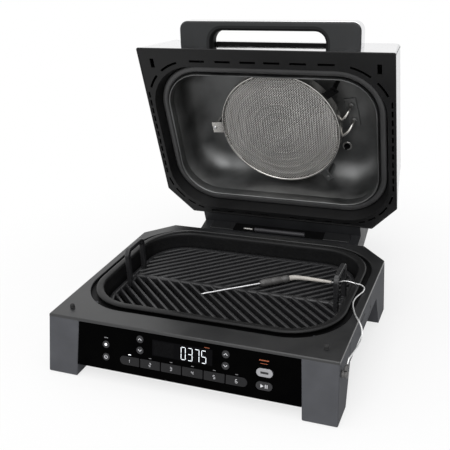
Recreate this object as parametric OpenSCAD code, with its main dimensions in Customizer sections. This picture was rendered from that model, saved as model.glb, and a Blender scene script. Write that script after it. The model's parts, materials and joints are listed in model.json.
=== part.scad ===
// Countertop grill with a hinged air-frying lid, a lift-out pot and grate, and a wired probe.
// Millimetres. X runs across the front, Y runs to the rear, Z is up from the table.
// The lid is drawn open, as it stands when the cooker is being loaded.

/* [Base] */
// deck beside the pot flange, on each side
deck_side = 20; // [18:0.5:24]
// deck in front of the pot flange
deck_front = 46; // [42:1:50]
// deck behind the pot flange
deck_rear = 23; // [20:1:26]
// height of the deck above the table
body_h = 92; // [90:1:100]
// how far the foot of the front face stands forward of the deck edge
front_lean = 18.5; // [12:0.5:24]
// how far each side leans out at the foot
side_flare = 2.4; // [0.4:0.2:4]
// rear corner cut across the width
corner_x = 46; // [40:1:50]
// rear corner cut along the depth
corner_y = 51; // [46:1:56]
// wall of the base moulding
base_wall = 3; // [2.4:0.2:3.6]
// thickness of the deck cover
deck_t = 5; // [4:0.5:6]
// width of a front leg at the deck
leg_w = 53; // [50:1:58]
// height of the lower edge of the side skirt
skirt_low = 57; // [54:1:60]
// height of the lower edge of the control panel
panel_low = 20; // [17:1:23]
// thickness of the pads under the legs
foot_t = 1.5; // [1:0.5:3]

/* [Panel] */
// thickness of the control fascia
fascia_t = 4; // [3:0.5:5]
// how far a key stands proud of the fascia
key_proud = 0.6; // [0.4:0.1:1]
// how far a key travels when pressed
key_travel = 0.8; // [0.5:0.1:1]
// radius of the round keys
round_r = 5.6; // [5:0.2:6.4]
// width of the two oval keys
oval_w = 26; // [22:1:28]
// height of the two oval keys
oval_h = 14; // [12:1:15]
// spacing of the six function keys
func_pitch = 33.6; // [31:0.2:34]
// height of the function keys
func_h = 13.5; // [12:0.5:15]
// width of the display window
disp_w = 94; // [86:1:98]
// height of the display window
disp_h = 24; // [20:0.5:25]

/* [Well and pot] */
// width over the pot flange
pot_w = 410; // [402:1:414]
// depth over the pot flange
pot_d = 296; // [290:1:300]
// outer corner radius of the pot flange
pot_r = 84; // [78:1:88]
// width of the flange from its outer edge to the wall
flange_w = 13; // [11:1:15]
// sheet thickness of the pot
pot_t = 2; // [1.6:0.2:2.4]
// height of the pot floor above the table
pot_low = 40; // [38:1:42]
// height of the flange above the deck
flange_up = 3.8; // [3:0.2:4]
// groove between the flange and the deck opening
deck_gap = 7.5; // [6:0.5:8]
// air gap between the pot wall and the well liner
well_gap = 4; // [3:0.5:5]

/* [Grate] */
// height of the rib tops above the table
grate_top = 70; // [66:1:74]
// thickness of the ribs and the frame
grate_t = 11; // [9:1:13]
// width of each rib
rib_w = 5.5; // [4.5:0.5:7]
// spacing of the ribs along the width
rib_pitch = 20; // [18:1:24]
// angle of the ribs from the width
rib_deg = 42; // [38:1:48]
// height of the lifting loops above the rib tops
loop_up = 58; // [40:1:60]
// length of a lifting loop
loop_l = 60; // [56:1:76]

/* [Lid] */
// gap from the deck to the closed lid
lid_gap = 7; // [6.6:0.2:8]
// setback of the lid's front edge from the deck's front edge
lid_set = 14.4; // [10:0.2:18]
// height of the lid from its rim to the crown
lid_h = 150; // [146:1:160]
// inward lean of the front wall for each millimetre of height
front_slope = 0.334; // [0.28:0.002:0.36]
// inward lean of the side walls for each millimetre of height
side_slope = 0.114; // [0.08:0.002:0.14]
// sheet thickness of the lid shell
shell_t = 1.5; // [1.2:0.1:2]
// how far the cavity's side walls stand in from the pot flange's edge
cav_in_x = 16; // [11:0.5:18]
// how far the cavity's front and rear walls stand in from the pot flange's edge
cav_in_y = 20.5; // [19:0.5:23]
// corner radius inside the lid cavity
cav_r = 65; // [62:1:76]
// height of the cavity ceiling above the rim
cav_h = 108; // [104:1:112]
// width of the seal around the cavity
seal_w = 13; // [6:0.5:14]
// depth of the cavity's lip behind the rim
lip_deep = 14; // [12:0.5:17]

/* [Handle] */
// width of the handle
handle_w = 320; // [300:1:330]
// how far the handle stands out from the front wall
handle_out = 41; // [36:1:46]
// height of the handle along the wall
handle_h = 28; // [24:1:32]
// distance of the handle up the wall from the rim
handle_at = 46; // [40:1:52]
// width of the finger opening
grip_w = 202; // [180:1:220]
// thickness of the hand bar
bar_t = 15.5; // [13:0.5:18]

/* [Hinge] */
// hinge axis behind the deck's rear edge
hinge_back = 34.5; // [33:0.5:38]
// height of the hinge axis above the table
hinge_z = 42; // [40:0.5:44]
// opening angle of the lid
open_deg = 74.4; // [70:0.2:78]
// half width of the hinge housing
arm_half = 157; // [150:1:160]
// radius of the hinge pins
pin_r = 5; // [4:0.5:6]

/* [Fan and heater] */
// how far the fan stands behind the middle of the pot
fan_back = 8; // [2:0.5:8]
// radius of the mesh cover
mesh_r = 114; // [104:1:116]
// height of the mesh cover above the rim
mesh_at = 60; // [56:1:74]
// radius of the convection blades
fan_r = 82; // [74:1:86]
// radius of the fan shaft
shaft_r = 4; // [3:0.5:5]
// radius of the heating tube
tube_r = 3.4; // [3:0.2:3.6]

/* [Probe] */
// radius of the probe grip
grip_r = 6.2; // [5.6:0.2:6.2]
// length of the probe grip
grip_l = 50; // [44:1:52]
// length of the bare needle
needle_l = 100; // [80:1:110]
// radius of the probe cord
cord_r = 1.2; // [1:0.1:1.2]

/* [Hidden] */
$fn = 64;
body_w = pot_w + 2 * deck_side;
body_d = deck_front + pot_d + deck_rear;
pot_y = deck_front + pot_d / 2;
cav_w = pot_w - 2 * cav_in_x;
cav_d = pot_d - 2 * cav_in_y;
cav_y = pot_y + 5;
fan_y = pot_y + fan_back;
panel_half = body_w / 2 - leg_w;
panel_tilt = atan(front_lean / body_h);
panel_len = body_h / cos(panel_tilt);
fascia_top = -(deck_t + 0.1) / cos(panel_tilt);
hinge_y = body_d + hinge_back;
rim_z = body_h + lid_gap;
deck_low = body_h - deck_t;
open_rear = hinge_y + (lid_h + rim_z - hinge_z) * sin(open_deg) - (hinge_back + 42) * cos(open_deg);
mid_y = (open_rear - front_lean) / 2;
flange_z = body_h + flange_up;
well_w = pot_w - 2 * flange_w + 2 * pot_t + 2 * well_gap;
well_d = pot_d - 2 * flange_w + 2 * pot_t + 2 * well_gap;
well_r = pot_r - flange_w + pot_t + well_gap;
tub_w = well_w + 10;
tub_d = well_d + 10;
tub_r = well_r + 5;
tub_low = panel_low - 4;
tub_front = pot_y - tub_d / 2;
liner_floor = tub_low + 8;
leg_back = 60;
rear_leg = body_d - 118;
lower_r = well_d / 2 - 59;
lower_x = well_w / 2 - lower_r - 46;
shell_mid = 115;
mouth_w = pot_w + 12;
mouth_d = pot_d + 7.5;
seal_outer_w = cav_w + 5.6 + 2 * seal_w;
seal_outer_d = cav_d + 5.6 + 2 * seal_w;
seal_r = cav_r + 2.8 + seal_w;
seal_back = lip_deep + 8;
wall_deg = atan(front_slope);
mesh_z = rim_z + mesh_at;
ceil_z = rim_z + cav_h;
motor_z = ceil_z + 14;
coil_r = mesh_r - 10;
lead_r = tube_r * 0.9;
lead_x = mesh_r + 16;
lead_turns = [-1.3, -14.8];
tab_turns = [50, 177, 322];
key_row_a = -panel_len * 16 / 92;
key_row_b = -panel_len * 32.8 / 92;
key_row_c = -panel_len * 52 / 92;
key_mid = -2.5;
round_u = key_mid - 3 * func_pitch - 22.7;
oval_u = key_mid + 3 * func_pitch + 23.7;
disp_v = (key_row_a + key_row_b) / 2 - 0.6;
plug_y = 6;
plug_z = body_h - 21;
plug_x = body_w / 2 + side_flare * (body_h - plug_z) / body_h;
tray_front = pot_y - 76;
tray_rear = pot_y + 8;
probe_start = [42, pot_y + 15, grate_top + 0.3 + grip_r];
probe_deg = 37.3;
cord_z = flange_z + cord_r + 0.15;
side_x = body_w / 2;
// route of the cord from the plug, over the deck edge, to the pot flange
cord_out = [[plug_x + 6.5, 11, body_h - 8.5], [side_x + 8.3, 15.5, body_h - 2.6],
    [side_x + 9.2, 24, body_h - 2.4], [side_x + 9.8, 38, body_h - 5.2], [side_x + 11, 56, body_h - 7.5],
    [side_x + 12, 75, body_h - 7.8], [side_x + 11, 86, body_h - 4.4], [side_x + 8.2, 95, body_h - 0.2],
    [side_x + 2.2, 105.7, body_h + 2.6], [side_x - 6, 121, body_h + 2.3], [side_x - 13.7, 141, body_h + 2],
    [side_x - 17.6, 156.5, body_h + 2.3], [side_x - 17.4, 172, body_h + 2.2],
    [side_x - 14.2, 184.5, body_h + 2.2], [side_x - 10.5, 195.5, body_h + 2.8],
    [side_x - 11, 205, body_h + 4.2], [side_x - 16.8, 210.8, cord_z], [side_x - 26.5, 213, cord_z]];
// route of the cord from the pot flange, through the lifting loop, to the probe
cord_in = [[side_x - 26.9, 213.1, cord_z], [side_x - 36, 213.4, cord_z + 1.8],
    [side_x - 44, 213.3, cord_z + 1.9], [side_x - 50, 215.4, grate_top + 25.6],
    [side_x - 56.6, 225, grate_top + 19], [side_x - 62.2, 236, grate_top + 12],
    [side_x - 67.6, 243.6, grate_top + 7.9], [side_x - 72.1, 245.1, grate_top + 6.92]];
// route of the flexible sleeve behind the grip
function along_probe(d) = probe_start + d * [cos(probe_deg), sin(probe_deg), 0];
boot_path = [along_probe(grip_l + 0.3), along_probe(grip_l + 8), [100, pot_y + 52.8, grate_top + 6.4],
    [119, pot_y + 53.3, grate_top + 6.2], [138, pot_y + 52.4, grate_top + 6.4],
    [side_x - 72.6, 245.2, grate_top + 6.9]];

// Where things stand

module at_base() translate([0, -mid_y, 0]) children();

module at_lid() at_base() translate([0, hinge_y, hinge_z]) rotate([-open_deg, 0, 0])
    translate([0, -hinge_y, -hinge_z]) children();

module at_panel() at_base() translate([0, 0, body_h]) rotate([90 - panel_tilt, 0, 0]) children();

module at_wall() at_lid() translate([0, lid_set, rim_z]) rotate([-wall_deg, 0, 0]) children();

module both() {
    children();
    mirror([1, 0, 0]) children();
}

// Outlines

module rrect(w, d, r) {
    square([w - 2 * r, d], center = true);
    square([w, d - 2 * r], center = true);
    for (x = [-1, 1]) for (y = [-1, 1]) translate([x * (w / 2 - r), y * (d / 2 - r)]) circle(r);
}

module block(x0, x1, y0, y1, z0, z1) translate([x0, y0, z0]) cube([x1 - x0, y1 - y0, z1 - z0]);

module across(x0, x1) translate([x0, 0, 0]) rotate([90, 0, 90]) linear_extrude(x1 - x0) children();

module along(y0, y1) translate([0, y1, 0]) rotate([90, 0, 0]) linear_extrude(y1 - y0) children();

module well_plan(w, d, r, z0, z1) translate([0, pot_y, z0]) linear_extrude(z1 - z0) rrect(w, d, r);

module plan(inset) {
    h = body_w / 2 + side_flare - inset;
    b = body_d - inset;
    k = inset * 0.43;
    polygon([[-h, -40], [h, -40], [h, b + inset - corner_y - k], [h + inset - corner_x - k, b],
        [-h - inset + corner_x + k, b], [-h, b + inset - corner_y - k]]);
}

// The outside of the base: plan, side profile and front profile together
module envelope(inset) intersection() {
    translate([0, 0, foot_t]) linear_extrude(body_h - foot_t) plan(inset);
    across(-body_w, body_w) polygon([[inset - front_lean, 0], [body_d, 0], [body_d, body_h],
        [inset, body_h]]);
    along(-50, body_d + 10) polygon([[inset - body_w / 2 - side_flare, 0],
        [body_w / 2 + side_flare - inset, 0], [body_w / 2 - inset, body_h],
        [inset - body_w / 2, body_h]]);
}

// Base

module front_leg_prism(inset) {
    intersection() {
        across(0, body_w) polygon([[-60, foot_t + inset], [leg_back - 31 - inset, foot_t + inset],
            [leg_back - inset, skirt_low + inset], [leg_back - inset, body_h], [-60, body_h]]);
        along(-60, 80) polygon([[body_w / 2 - leg_w + 5 + inset, 0], [body_w, 0], [body_w, body_h],
            [body_w / 2 - leg_w + inset, body_h]]);
    }
}

module rear_leg_prism(inset) {
    intersection() {
        across(0, body_w) polygon([[rear_leg + 19 + inset, foot_t + inset], [2 * body_d, foot_t + inset],
            [2 * body_d, body_h], [rear_leg + inset, body_h], [rear_leg + inset, skirt_low]]);
        block(body_w / 2 - 19 + inset, body_w, rear_leg - 50, 2 * body_d, 0, body_h);
    }
}

module front_legs() at_base() color([0.24, 0.25, 0.27]) difference() {
    both() difference() {
        intersection() { envelope(0); front_leg_prism(0); }
        intersection() { envelope(base_wall); front_leg_prism(base_wall); }
    }
    block(-body_w, body_w, -60, body_d + 10, deck_low, body_h + 1);
    flange_room();
    // hole for the probe jack in the right leg
    translate([body_w / 2 - 20, plug_y, plug_z]) rotate([0, 90, 0]) cylinder(r = 4.6, h = 40);
}

// Space under the deck for the well liner's flange
module flange_room() well_plan(pot_w + 2 * deck_gap + 9.6, pot_d + 2 * deck_gap + 9.6,
    pot_r + deck_gap / 2 + 4.8, deck_low - 1.5, body_h);

module rear_legs() both() difference() {
    intersection() { envelope(0); rear_leg_prism(0); }
    intersection() { envelope(base_wall); rear_leg_prism(base_wall); }
}

module skirts() {
    intersection() {
        difference() { envelope(0); envelope(base_wall); }
        union() {
            block(-body_w, body_w, leg_back, body_d - corner_y + 1, skirt_low, body_h);
            block(-body_w, body_w, body_d - corner_y, body_d + 5, panel_low, body_h);
        }
    }
    difference() {
        intersection() {
            envelope(base_wall / 2);
            block(-body_w, body_w, leg_back, body_d, skirt_low, skirt_low + 2.5);
        }
        well_plan(tub_w + 0.6, tub_d + 0.6, tub_r + 0.3, 0, body_h);
        both() rear_leg_prism(0);
    }
}

// Wall behind the fascia, with the window the keys work through
module rail_plate() translate([0, 0, body_h]) rotate([90 - panel_tilt, 0, 0])
    translate([0, 0, -fascia_t - base_wall]) linear_extrude(base_wall) difference() {
        polygon([[-panel_half - 2, -4.5], [panel_half + 2, -4.5],
            [panel_half + 6, -panel_len + 20.5], [-panel_half - 6, -panel_len + 20.5]]);
        translate([round_u - 17, -panel_len + 26]) square([oval_u - round_u + 38, panel_len - 34]);
    }

module floor_plate() difference() {
    intersection() {
        envelope(fascia_t * 1.04);
        block(-panel_half - 6, panel_half + 6, -front_lean, tub_front + 30, panel_low, panel_low + 2.5);
    }
    well_plan(tub_w + 0.6, tub_d + 0.6, tub_r + 0.3, 0, body_h);
}

// Rail and floor that carry the fascia and the boards between the two front legs
module front_rail() at_base() color([0.16, 0.16, 0.17]) difference() {
    union() {
        rail_plate();
        floor_plate();
    }
    both() front_leg_prism(0);
    block(-body_w, body_w, -60, body_d + 10, deck_low, body_h + 1);
}

// Ears on the rear wall that carry the hinge pins
module hinge_ears() both() difference() {
    union() {
        across(arm_half + 1, arm_half + 15) union() {
            translate([hinge_y, hinge_z]) circle(14);
            translate([body_d - base_wall, hinge_z - 14]) square([hinge_y - body_d + base_wall, 28]);
        }
    }
    across(arm_half - 1, arm_half + 17) translate([hinge_y, hinge_z]) circle(pin_r);
}

module base_frame() at_base() color([0.24, 0.25, 0.27]) difference() {
    union() {
        rear_legs();
        skirts();
        hinge_ears();
        both() block(118, 150, body_d - 24, body_d - base_wall / 2, foot_t, panel_low + 3);
    }
    // deck cover seat
    block(-body_w, body_w, -60, body_d + 10, deck_low, body_h + 1);
    flange_room();
    // opening for the tray in the right skirt
    block(body_w / 2 - 8, body_w, tray_front - 0.4, tray_rear + 0.4, skirt_low + 3.6, deck_low - 1.6);
    // hole for the mains cord in the left rear corner
    gland_axis() translate([0, 0, -8]) cylinder(r = 6, h = 20);
}

module gland_axis() translate([corner_x / 2 - body_w / 2 - side_flare, body_d - corner_y / 2, 40])
    rotate([0, 0, 180 - atan2(corner_x, corner_y)]) rotate([0, 90, 0]) children();

module deck_cover() at_base() color([0.2, 0.21, 0.22]) difference() {
    intersection() {
        envelope(0);
        block(-body_w, body_w, -60, body_d + 10, deck_low, body_h);
    }
    well_plan(pot_w + 2 * deck_gap, pot_d + 2 * deck_gap, pot_r + deck_gap / 2, 0, body_h + 1);
}

module bottom_tub() at_base() color([0.12, 0.12, 0.13]) difference() {
    well_plan(tub_w, tub_d, tub_r, tub_low, deck_low - 1.2);
    well_plan(tub_w - 5, tub_d - 5, tub_r - 2.5, tub_low + 2.5, body_h);
    // vents in the floor
    for (x = [-5:5]) block(x * 24 - 2, x * 24 + 2, pot_y - 60, pot_y + 60, 0, tub_low + 3);
    // way through for the lower heater leads
    for (x = [-30, 30]) translate([x, tub_front - 5, liner_floor + 9]) rotate([-90, 0, 0])
        cylinder(r = tube_r + 0.5, h = 30);
}

module foot_pads() at_base() color([0.08, 0.08, 0.08]) both() {
    block(panel_half + 10, body_w / 2 - 3, -front_lean + 4, leg_back - 35, 0, foot_t);
    block(body_w / 2 - 15, body_w / 2 - 2, rear_leg + 23, body_d - corner_y - 4, 0, foot_t);
    block(120, 148, body_d - 22, body_d - 4, 0, foot_t);
}

module well_liner() at_base() color([0.06, 0.06, 0.07]) {
    difference() {
        union() {
            well_plan(well_w + 2.4, well_d + 2.4, well_r + 1.2, liner_floor, deck_low - 0.6);
            well_plan(pot_w + 2 * deck_gap + 9, pot_d + 2 * deck_gap + 9, pot_r + deck_gap / 2 + 4.5,
                deck_low - 1.2, deck_low);
        }
        well_plan(well_w, well_d, well_r, liner_floor + 1.2, body_h);
        for (x = [-30, 30]) translate([x, tub_front - 5, liner_floor + 9]) rotate([-90, 0, 0])
            cylinder(r = tube_r + 0.5, h = 30);
    }
    // pads the pot stands on, and the spacers under the liner
    for (x = [-1, 1]) for (y = [-1, 1])
        translate([x * (well_w / 2 - 46), pot_y + y * (well_d / 2 - 49), 0]) {
        translate([0, 0, liner_floor + 1]) cylinder(r = 7, h = pot_low - liner_floor - 1);
        translate([0, 0, tub_low + 2.5]) cylinder(r = 9, h = liner_floor - tub_low - 2);
    }
}

// Oval tube loop that lies between the liner floor and the pot
module lower_heater() at_base() color([0.35, 0.33, 0.32]) translate([0, pot_y, liner_floor + 9]) {
    both() translate([lower_x, 0, 0]) rotate([0, 0, -90]) rotate_extrude(angle = 180)
        translate([lower_r, 0]) circle(tube_r);
    translate([-lower_x, lower_r, 0]) rotate([0, 90, 0]) cylinder(r = tube_r, h = 2 * lower_x);
    both() translate([30, -lower_r, 0]) rotate([0, 90, 0]) cylinder(r = tube_r, h = lower_x - 30);
    both() translate([30, -lower_r, 0]) rotate([90, 0, 0])
        cylinder(r = tube_r, h = well_d / 2 - lower_r + 14);
    both() translate([30, -lower_r, 0]) sphere(tube_r);
}

// Control panel, drawn flat in its own plane

module key_holes() {
    for (p = round_keys()) translate(p) circle(round_r + 0.3);
    for (v = [key_row_b, key_row_c]) translate([oval_u, v]) rrect(oval_w + 0.6, oval_h + 0.6,
        oval_h / 2 + 0.29);
    for (i = [0:5]) func_shape(i, 0.3);
}

function round_keys() = [[round_u, key_row_b], [round_u, key_row_c],
    [key_mid - 67, key_row_a],
    [key_mid - 67, key_row_b], [key_mid + 67, key_row_a], [key_mid + 67, key_row_b]];

// Outline of a function key; the first and last have a round outer end
module func_shape(i, grow) {
    w = func_pitch - 1.8;
    u = key_mid + (i - 2.5) * func_pitch;
    r = func_h / 2;
    translate([u, key_row_c]) {
        if (i == 0) {
            translate([r - w / 2, 0]) circle(r + grow);
            translate([r - w / 2, -r - grow]) square([w - r + grow, func_h + 2 * grow]);
        }
        if (i == 5) {
            translate([w / 2 - r, 0]) circle(r + grow);
            translate([-w / 2 - grow, -r - grow]) square([w - r + grow, func_h + 2 * grow]);
        }
        if (i > 0 && i < 5) square([w + 2 * grow, func_h + 2 * grow], center = true);
    }
}

module control_fascia() at_panel() color([0.02, 0.02, 0.02]) difference() {
    translate([0, 0, -fascia_t]) linear_extrude(fascia_t) difference() {
        polygon([[-panel_half, fascia_top], [panel_half, fascia_top],
            [panel_half + 3.8, -panel_len + 20.5], [-panel_half - 3.8, -panel_len + 20.5]]);
        key_holes();
        translate([key_mid, disp_v]) square([disp_w - 6, disp_h - 5], center = true);
    }
    translate([key_mid, disp_v, -2]) linear_extrude(3)
        square([disp_w, disp_h], center = true);
}

module display_window() at_panel() color([0.03, 0.03, 0.04])
    translate([key_mid, disp_v, -2]) linear_extrude(2)
        square([disp_w, disp_h], center = true);

module display_module() at_panel() color([0.1, 0.1, 0.11])
    translate([key_mid, disp_v, -fascia_t - 10.4]) linear_extrude(10.4)
        square([disp_w - 4, disp_h - 2], center = true);

module control_board() at_panel() color([0.08, 0.26, 0.16]) {
    translate([round_u - 24, -panel_len + 31, -fascia_t - 12])
        cube([oval_u - round_u + 52, panel_len - 37, 1.6]);
    for (u = [round_u - 20.6, oval_u + 24.6]) for (v = [key_row_a + 0.3, 35 - panel_len])
        translate([u, v, -fascia_t - 12])
        cylinder(r = 2.6, h = 12 - base_wall);
}

module power_board() at_base() color([0.1, 0.3, 0.18]) {
    block(-130, -40, 14, tub_front - 4, panel_low + 6.5, panel_low + 8.1);
    for (x = [-124, -46]) for (y = [18, tub_front - 8]) translate([x, y, panel_low + 2.5])
        cylinder(r = 2.5, h = 4.2);
    block(-122, -92, 20, tub_front - 10, panel_low + 8, panel_low + 30);
    translate([-66, 30, panel_low + 8]) cylinder(r = 8, h = 24);
}

// A key: cap through the fascia, a stop plate behind it and a stem to the board
module key_cap() {
    translate([0, 0, -fascia_t - 0.3]) linear_extrude(fascia_t + 0.3 + key_proud) children(0);
    translate([0, 0, -fascia_t - 2.3]) linear_extrude(2.1) children(1);
}

module key_stem(u, v) translate([u, v, -fascia_t - 9.2]) cylinder(r = 2.4, h = 7.2);

module round_key(i) at_panel() color([0.13, 0.13, 0.14]) {
    key_cap() {
        translate(round_keys()[i]) circle(round_r);
        translate(round_keys()[i]) circle(round_r + 1.2);
    }
    key_stem(round_keys()[i][0], round_keys()[i][1]);
}

module oval_key(v, tone) at_panel() color(tone) {
    key_cap() {
        translate([oval_u, v]) rrect(oval_w, oval_h, oval_h / 2 - 0.01);
        translate([oval_u, v]) rrect(oval_w + 2, oval_h + 2, oval_h / 2 + 0.9);
    }
    key_stem(oval_u, v);
}

module func_key(i) at_panel() color([0.16, 0.16, 0.17]) {
    key_cap() {
        func_shape(i, 0);
        translate([key_mid + (i - 2.5) * func_pitch, key_row_c])
            square([func_pitch - 3, func_h + 3], center = true);
    }
    key_stem(key_mid + (i - 2.5) * func_pitch, key_row_c);
}

module key_clock() round_key(0);
module key_power() round_key(1);
module key_left_up() round_key(2);
module key_left_down() round_key(3);
module key_right_up() round_key(4);
module key_right_down() round_key(5);
module key_mode_1() func_key(0);
module key_mode_2() func_key(1);
module key_mode_3() func_key(2);
module key_mode_4() func_key(3);
module key_mode_5() func_key(4);
module key_mode_6() func_key(5);
module key_set() oval_key(key_row_b, [0.7, 0.7, 0.72]);
module key_start() oval_key(key_row_c, [0.16, 0.16, 0.17]);

// Small fittings of the base

module lid_bumpers() at_base() color([0.1, 0.1, 0.1]) both()
    translate([body_w / 2 - 25, deck_front - 19, body_h]) {
    cylinder(r = 4, h = lid_gap - 1);
    translate([0, 0, lid_gap - 1.5]) cylinder(r = 3, h = 1.3);
}

module mains_gland() at_base() color([0.05, 0.05, 0.05]) gland_axis() difference() {
    union() {
        cylinder(r = 9, h = 5);
        translate([0, 0, -8]) cylinder(r = 5.9, h = 10);
        translate([0, 0, 4]) cylinder(r = 6.2, h = 8);
    }
    translate([0, 0, -9]) cylinder(r = 3.4, h = 30);
}

module hinge_pins() at_base() color([0.6, 0.6, 0.62]) both()
    across(arm_half - 14, arm_half + 17) translate([hinge_y, hinge_z]) circle(pin_r);

module probe_jack() at_base() color([0.1, 0.1, 0.1]) translate([plug_x, plug_y, plug_z])
    rotate([0, 90, 0]) difference() {
        union() {
            translate([0, 0, -14]) cylinder(r = 4.5, h = 13.8);
            translate([0, 0, -7]) cylinder(r = 6.4, h = 3.4);
        }
        translate([0, 0, -12]) cylinder(r = 2.2, h = 30);
    }

module probe_plug() at_base() color([0.07, 0.07, 0.07]) translate([plug_x, plug_y, plug_z])
    rotate([0, 90, 0]) {
        translate([0, 0, 0.3]) cylinder(r = 5, h = 9.2);
        translate([0, 0, -11]) cylinder(r = 1.8, h = 12);
    }

// Ribbed sleeve that leaves the plug upwards
module plug_relief() at_base() color([0.06, 0.06, 0.06]) sweep(bent([[plug_x + 5.2, plug_y + 1,
    plug_z + 5.6], [plug_x + 5.8, plug_y + 2.4, plug_z + 8.5], [plug_x + 6.3, plug_y + 4.2, plug_z + 11],
    [cord_out[0][0], cord_out[0][1] - 0.4, cord_out[0][2] - 0.6]], 2), [3, 2.2], 10);

module probe_tray() at_base() color([0.23, 0.24, 0.26]) difference() {
    intersection() {
        envelope(0);
        block(tub_w / 2 + 2, body_w, tray_front, tray_rear, skirt_low + 4, deck_low - 2);
    }
    block(tub_w / 2 + 4.5, body_w / 2 - 4, tray_front + 2.5, tray_rear - 2.5, skirt_low + 6.5, body_h);
    // finger pull
    block(body_w / 2 - 2, body_w, tray_front + 12, tray_front + 40, body_h - 16, body_h - 12);
}

// Lid

// Six-sided ring of the lid outline for one level
function lid_ring(z, front, side, rear) = let (h = body_w / 2 - 0.8 - side, b = body_d - rear)
    [[-h, lid_set + front, z], [h, lid_set + front, z], [h, b - corner_y, z], [h - corner_x, b, z],
    [corner_x - h, b, z], [-h, b - corner_y, z]];

// Solid through a stack of rings of equal count
module stack(rings) {
    n = len(rings[0]);
    m = len(rings);
    points = [for (r = rings) for (p = r) p];
    faces = concat([[for (i = [0:n - 1]) i]], [[for (i = [n - 1:-1:0]) (m - 1) * n + i]],
        [for (k = [0:m - 2]) for (i = [0:n - 1])
            [k * n + i, (k + 1) * n + i, (k + 1) * n + (i + 1) % n, k * n + (i + 1) % n]]);
    polyhedron(points, faces);
}

function shell_rings(t, drop) = let (s = shell_mid) [
    lid_ring(rim_z - drop, t - drop * front_slope, t - drop * side_slope, t),
    lid_ring(rim_z + s, t + s * front_slope, t + s * side_slope, t + 8),
    lid_ring(rim_z + lid_h - 18, t + s * front_slope + 9, t + s * side_slope + 7, t + 13),
    lid_ring(rim_z + lid_h - 6 - t, t + s * front_slope + 22, t + s * side_slope + 18, t + 24),
    lid_ring(rim_z + lid_h - t, t + s * front_slope + 42, t + s * side_slope + 38, t + 42)];

module lid_shell() at_lid() color([0.8, 0.8, 0.8]) difference() {
    stack(shell_rings(0, 0));
    stack(shell_rings(shell_t, 2));
}

module seal_plan(w, d, r, z0, z1) translate([0, cav_y, rim_z + z0]) linear_extrude(z1 - z0) rrect(w, d, r);

// Ring with round corners for one level of the lid's mouth
function mouth_ring(w, d, r, z) = [for (c = [[1, -1, -90], [1, 1, 0], [-1, 1, 90], [-1, -1, 180]]) for (k = [0:8])
    [c[0] * (w / 2 - r) + r * cos(c[2] + k * 11.25), cav_y + c[1] * (d / 2 - r) + r * sin(c[2] + k * 11.25), rim_z + z]];

module arc_slot(r, w, a, b) polygon(concat(
    [for (k = [0:6]) (r - w / 2) * [cos(a + (b - a) * k / 6), sin(a + (b - a) * k / 6)]],
    [for (k = [6:-1:0]) (r + w / 2) * [cos(a + (b - a) * k / 6), sin(a + (b - a) * k / 6)]]));

// Cooling slots around the mouth: rows along the four sides and arcs around the corners
module rim_slots() both() {
    cx = mouth_w / 2 - pot_r;
    cy = mouth_d / 2 - pot_r;
    for (x = [21, 66, 113.5]) translate([x, lid_set + 22.8]) square([28, 4.2], center = true);
    translate([body_w / 2 - 26, lid_set + 28]) square([7.4, 17.2], center = true);
    for (k = [0:10]) translate([body_w / 2 - 6.8, cav_y - 93.2 + 16.5 * k]) square([3.2, 11.5], center = true);
    for (x = [29, 63, 97, 131]) translate([x, body_d - 6]) square([16, 3.4], center = true);
    translate([cx, cav_y - cy]) for (a = [-74.5, -43.5]) arc_slot(pot_r + 10, 4, a, a + (a < -60 ? 22.5 : 18));
    translate([cx, cav_y + cy]) for (a = [[13.5, 25], [30, 45.5], [51, 61], [65, 73]])
        arc_slot(pot_r + 8, 3.4, a[0], a[1]);
}

// Rim plate with a skirt that slopes in to the seal
module lid_frame() at_lid() color([0.06, 0.06, 0.06]) difference() {
    union() {
        stack([lid_ring(rim_z, shell_t + 0.3, shell_t + 0.3, shell_t + 0.3),
            lid_ring(rim_z + 3, shell_t + 0.4 + 3 * front_slope, shell_t + 0.7, shell_t + 0.6)]);
        stack([mouth_ring(mouth_w + 4.8, mouth_d + 4.8, pot_r + 2.4, 1.5),
            mouth_ring(seal_outer_w + 6, seal_outer_d + 6, seal_r + 3, seal_back)]);
    }
    stack([mouth_ring(mouth_w, mouth_d, pot_r, -1), mouth_ring(mouth_w, mouth_d, pot_r, 0),
        mouth_ring(seal_outer_w + 1.2, seal_outer_d + 1.2, seal_r + 0.6, seal_back),
        mouth_ring(seal_outer_w + 1.2, seal_outer_d + 1.2, seal_r + 0.6, seal_back + 1)]);
    translate([0, 0, rim_z - 1]) linear_extrude(6) rim_slots();
}

// Broad seal around the cavity and the flat retainer behind it
module lid_seal() at_lid() color([0.3, 0.3, 0.31]) {
    difference() {
        seal_plan(seal_outer_w, seal_outer_d, seal_r, seal_back - 4, seal_back);
        seal_plan(seal_outer_w - 2 * seal_w, seal_outer_d - 2 * seal_w, seal_r - seal_w, seal_back - 5, seal_back + 1);
    }
    difference() {
        seal_plan(seal_outer_w + 10, seal_outer_d + 10, seal_r + 5, seal_back, seal_back + 1.2);
        seal_plan(cav_w + 2.4, cav_d + 2.4, cav_r + 1.2, seal_back - 1, seal_back + 2);
    }
}

module lid_liner() at_lid() color([0.3, 0.3, 0.3]) difference() {
    seal_plan(cav_w + 2.4, cav_d + 2.4, cav_r + 1.2, lip_deep, cav_h);
    seal_plan(cav_w, cav_d, cav_r, lip_deep - 1, cav_h + 1);
}

module lid_ceiling() at_lid() color([0.3, 0.3, 0.3]) difference() {
    seal_plan(cav_w + 2.4, cav_d + 2.4, cav_r + 1.2, cav_h, cav_h + 1.2);
    translate([0, fan_y, ceil_z - 1]) cylinder(r = shaft_r + 4, h = 5);
}

// Handle, drawn against the sloping front wall

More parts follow.
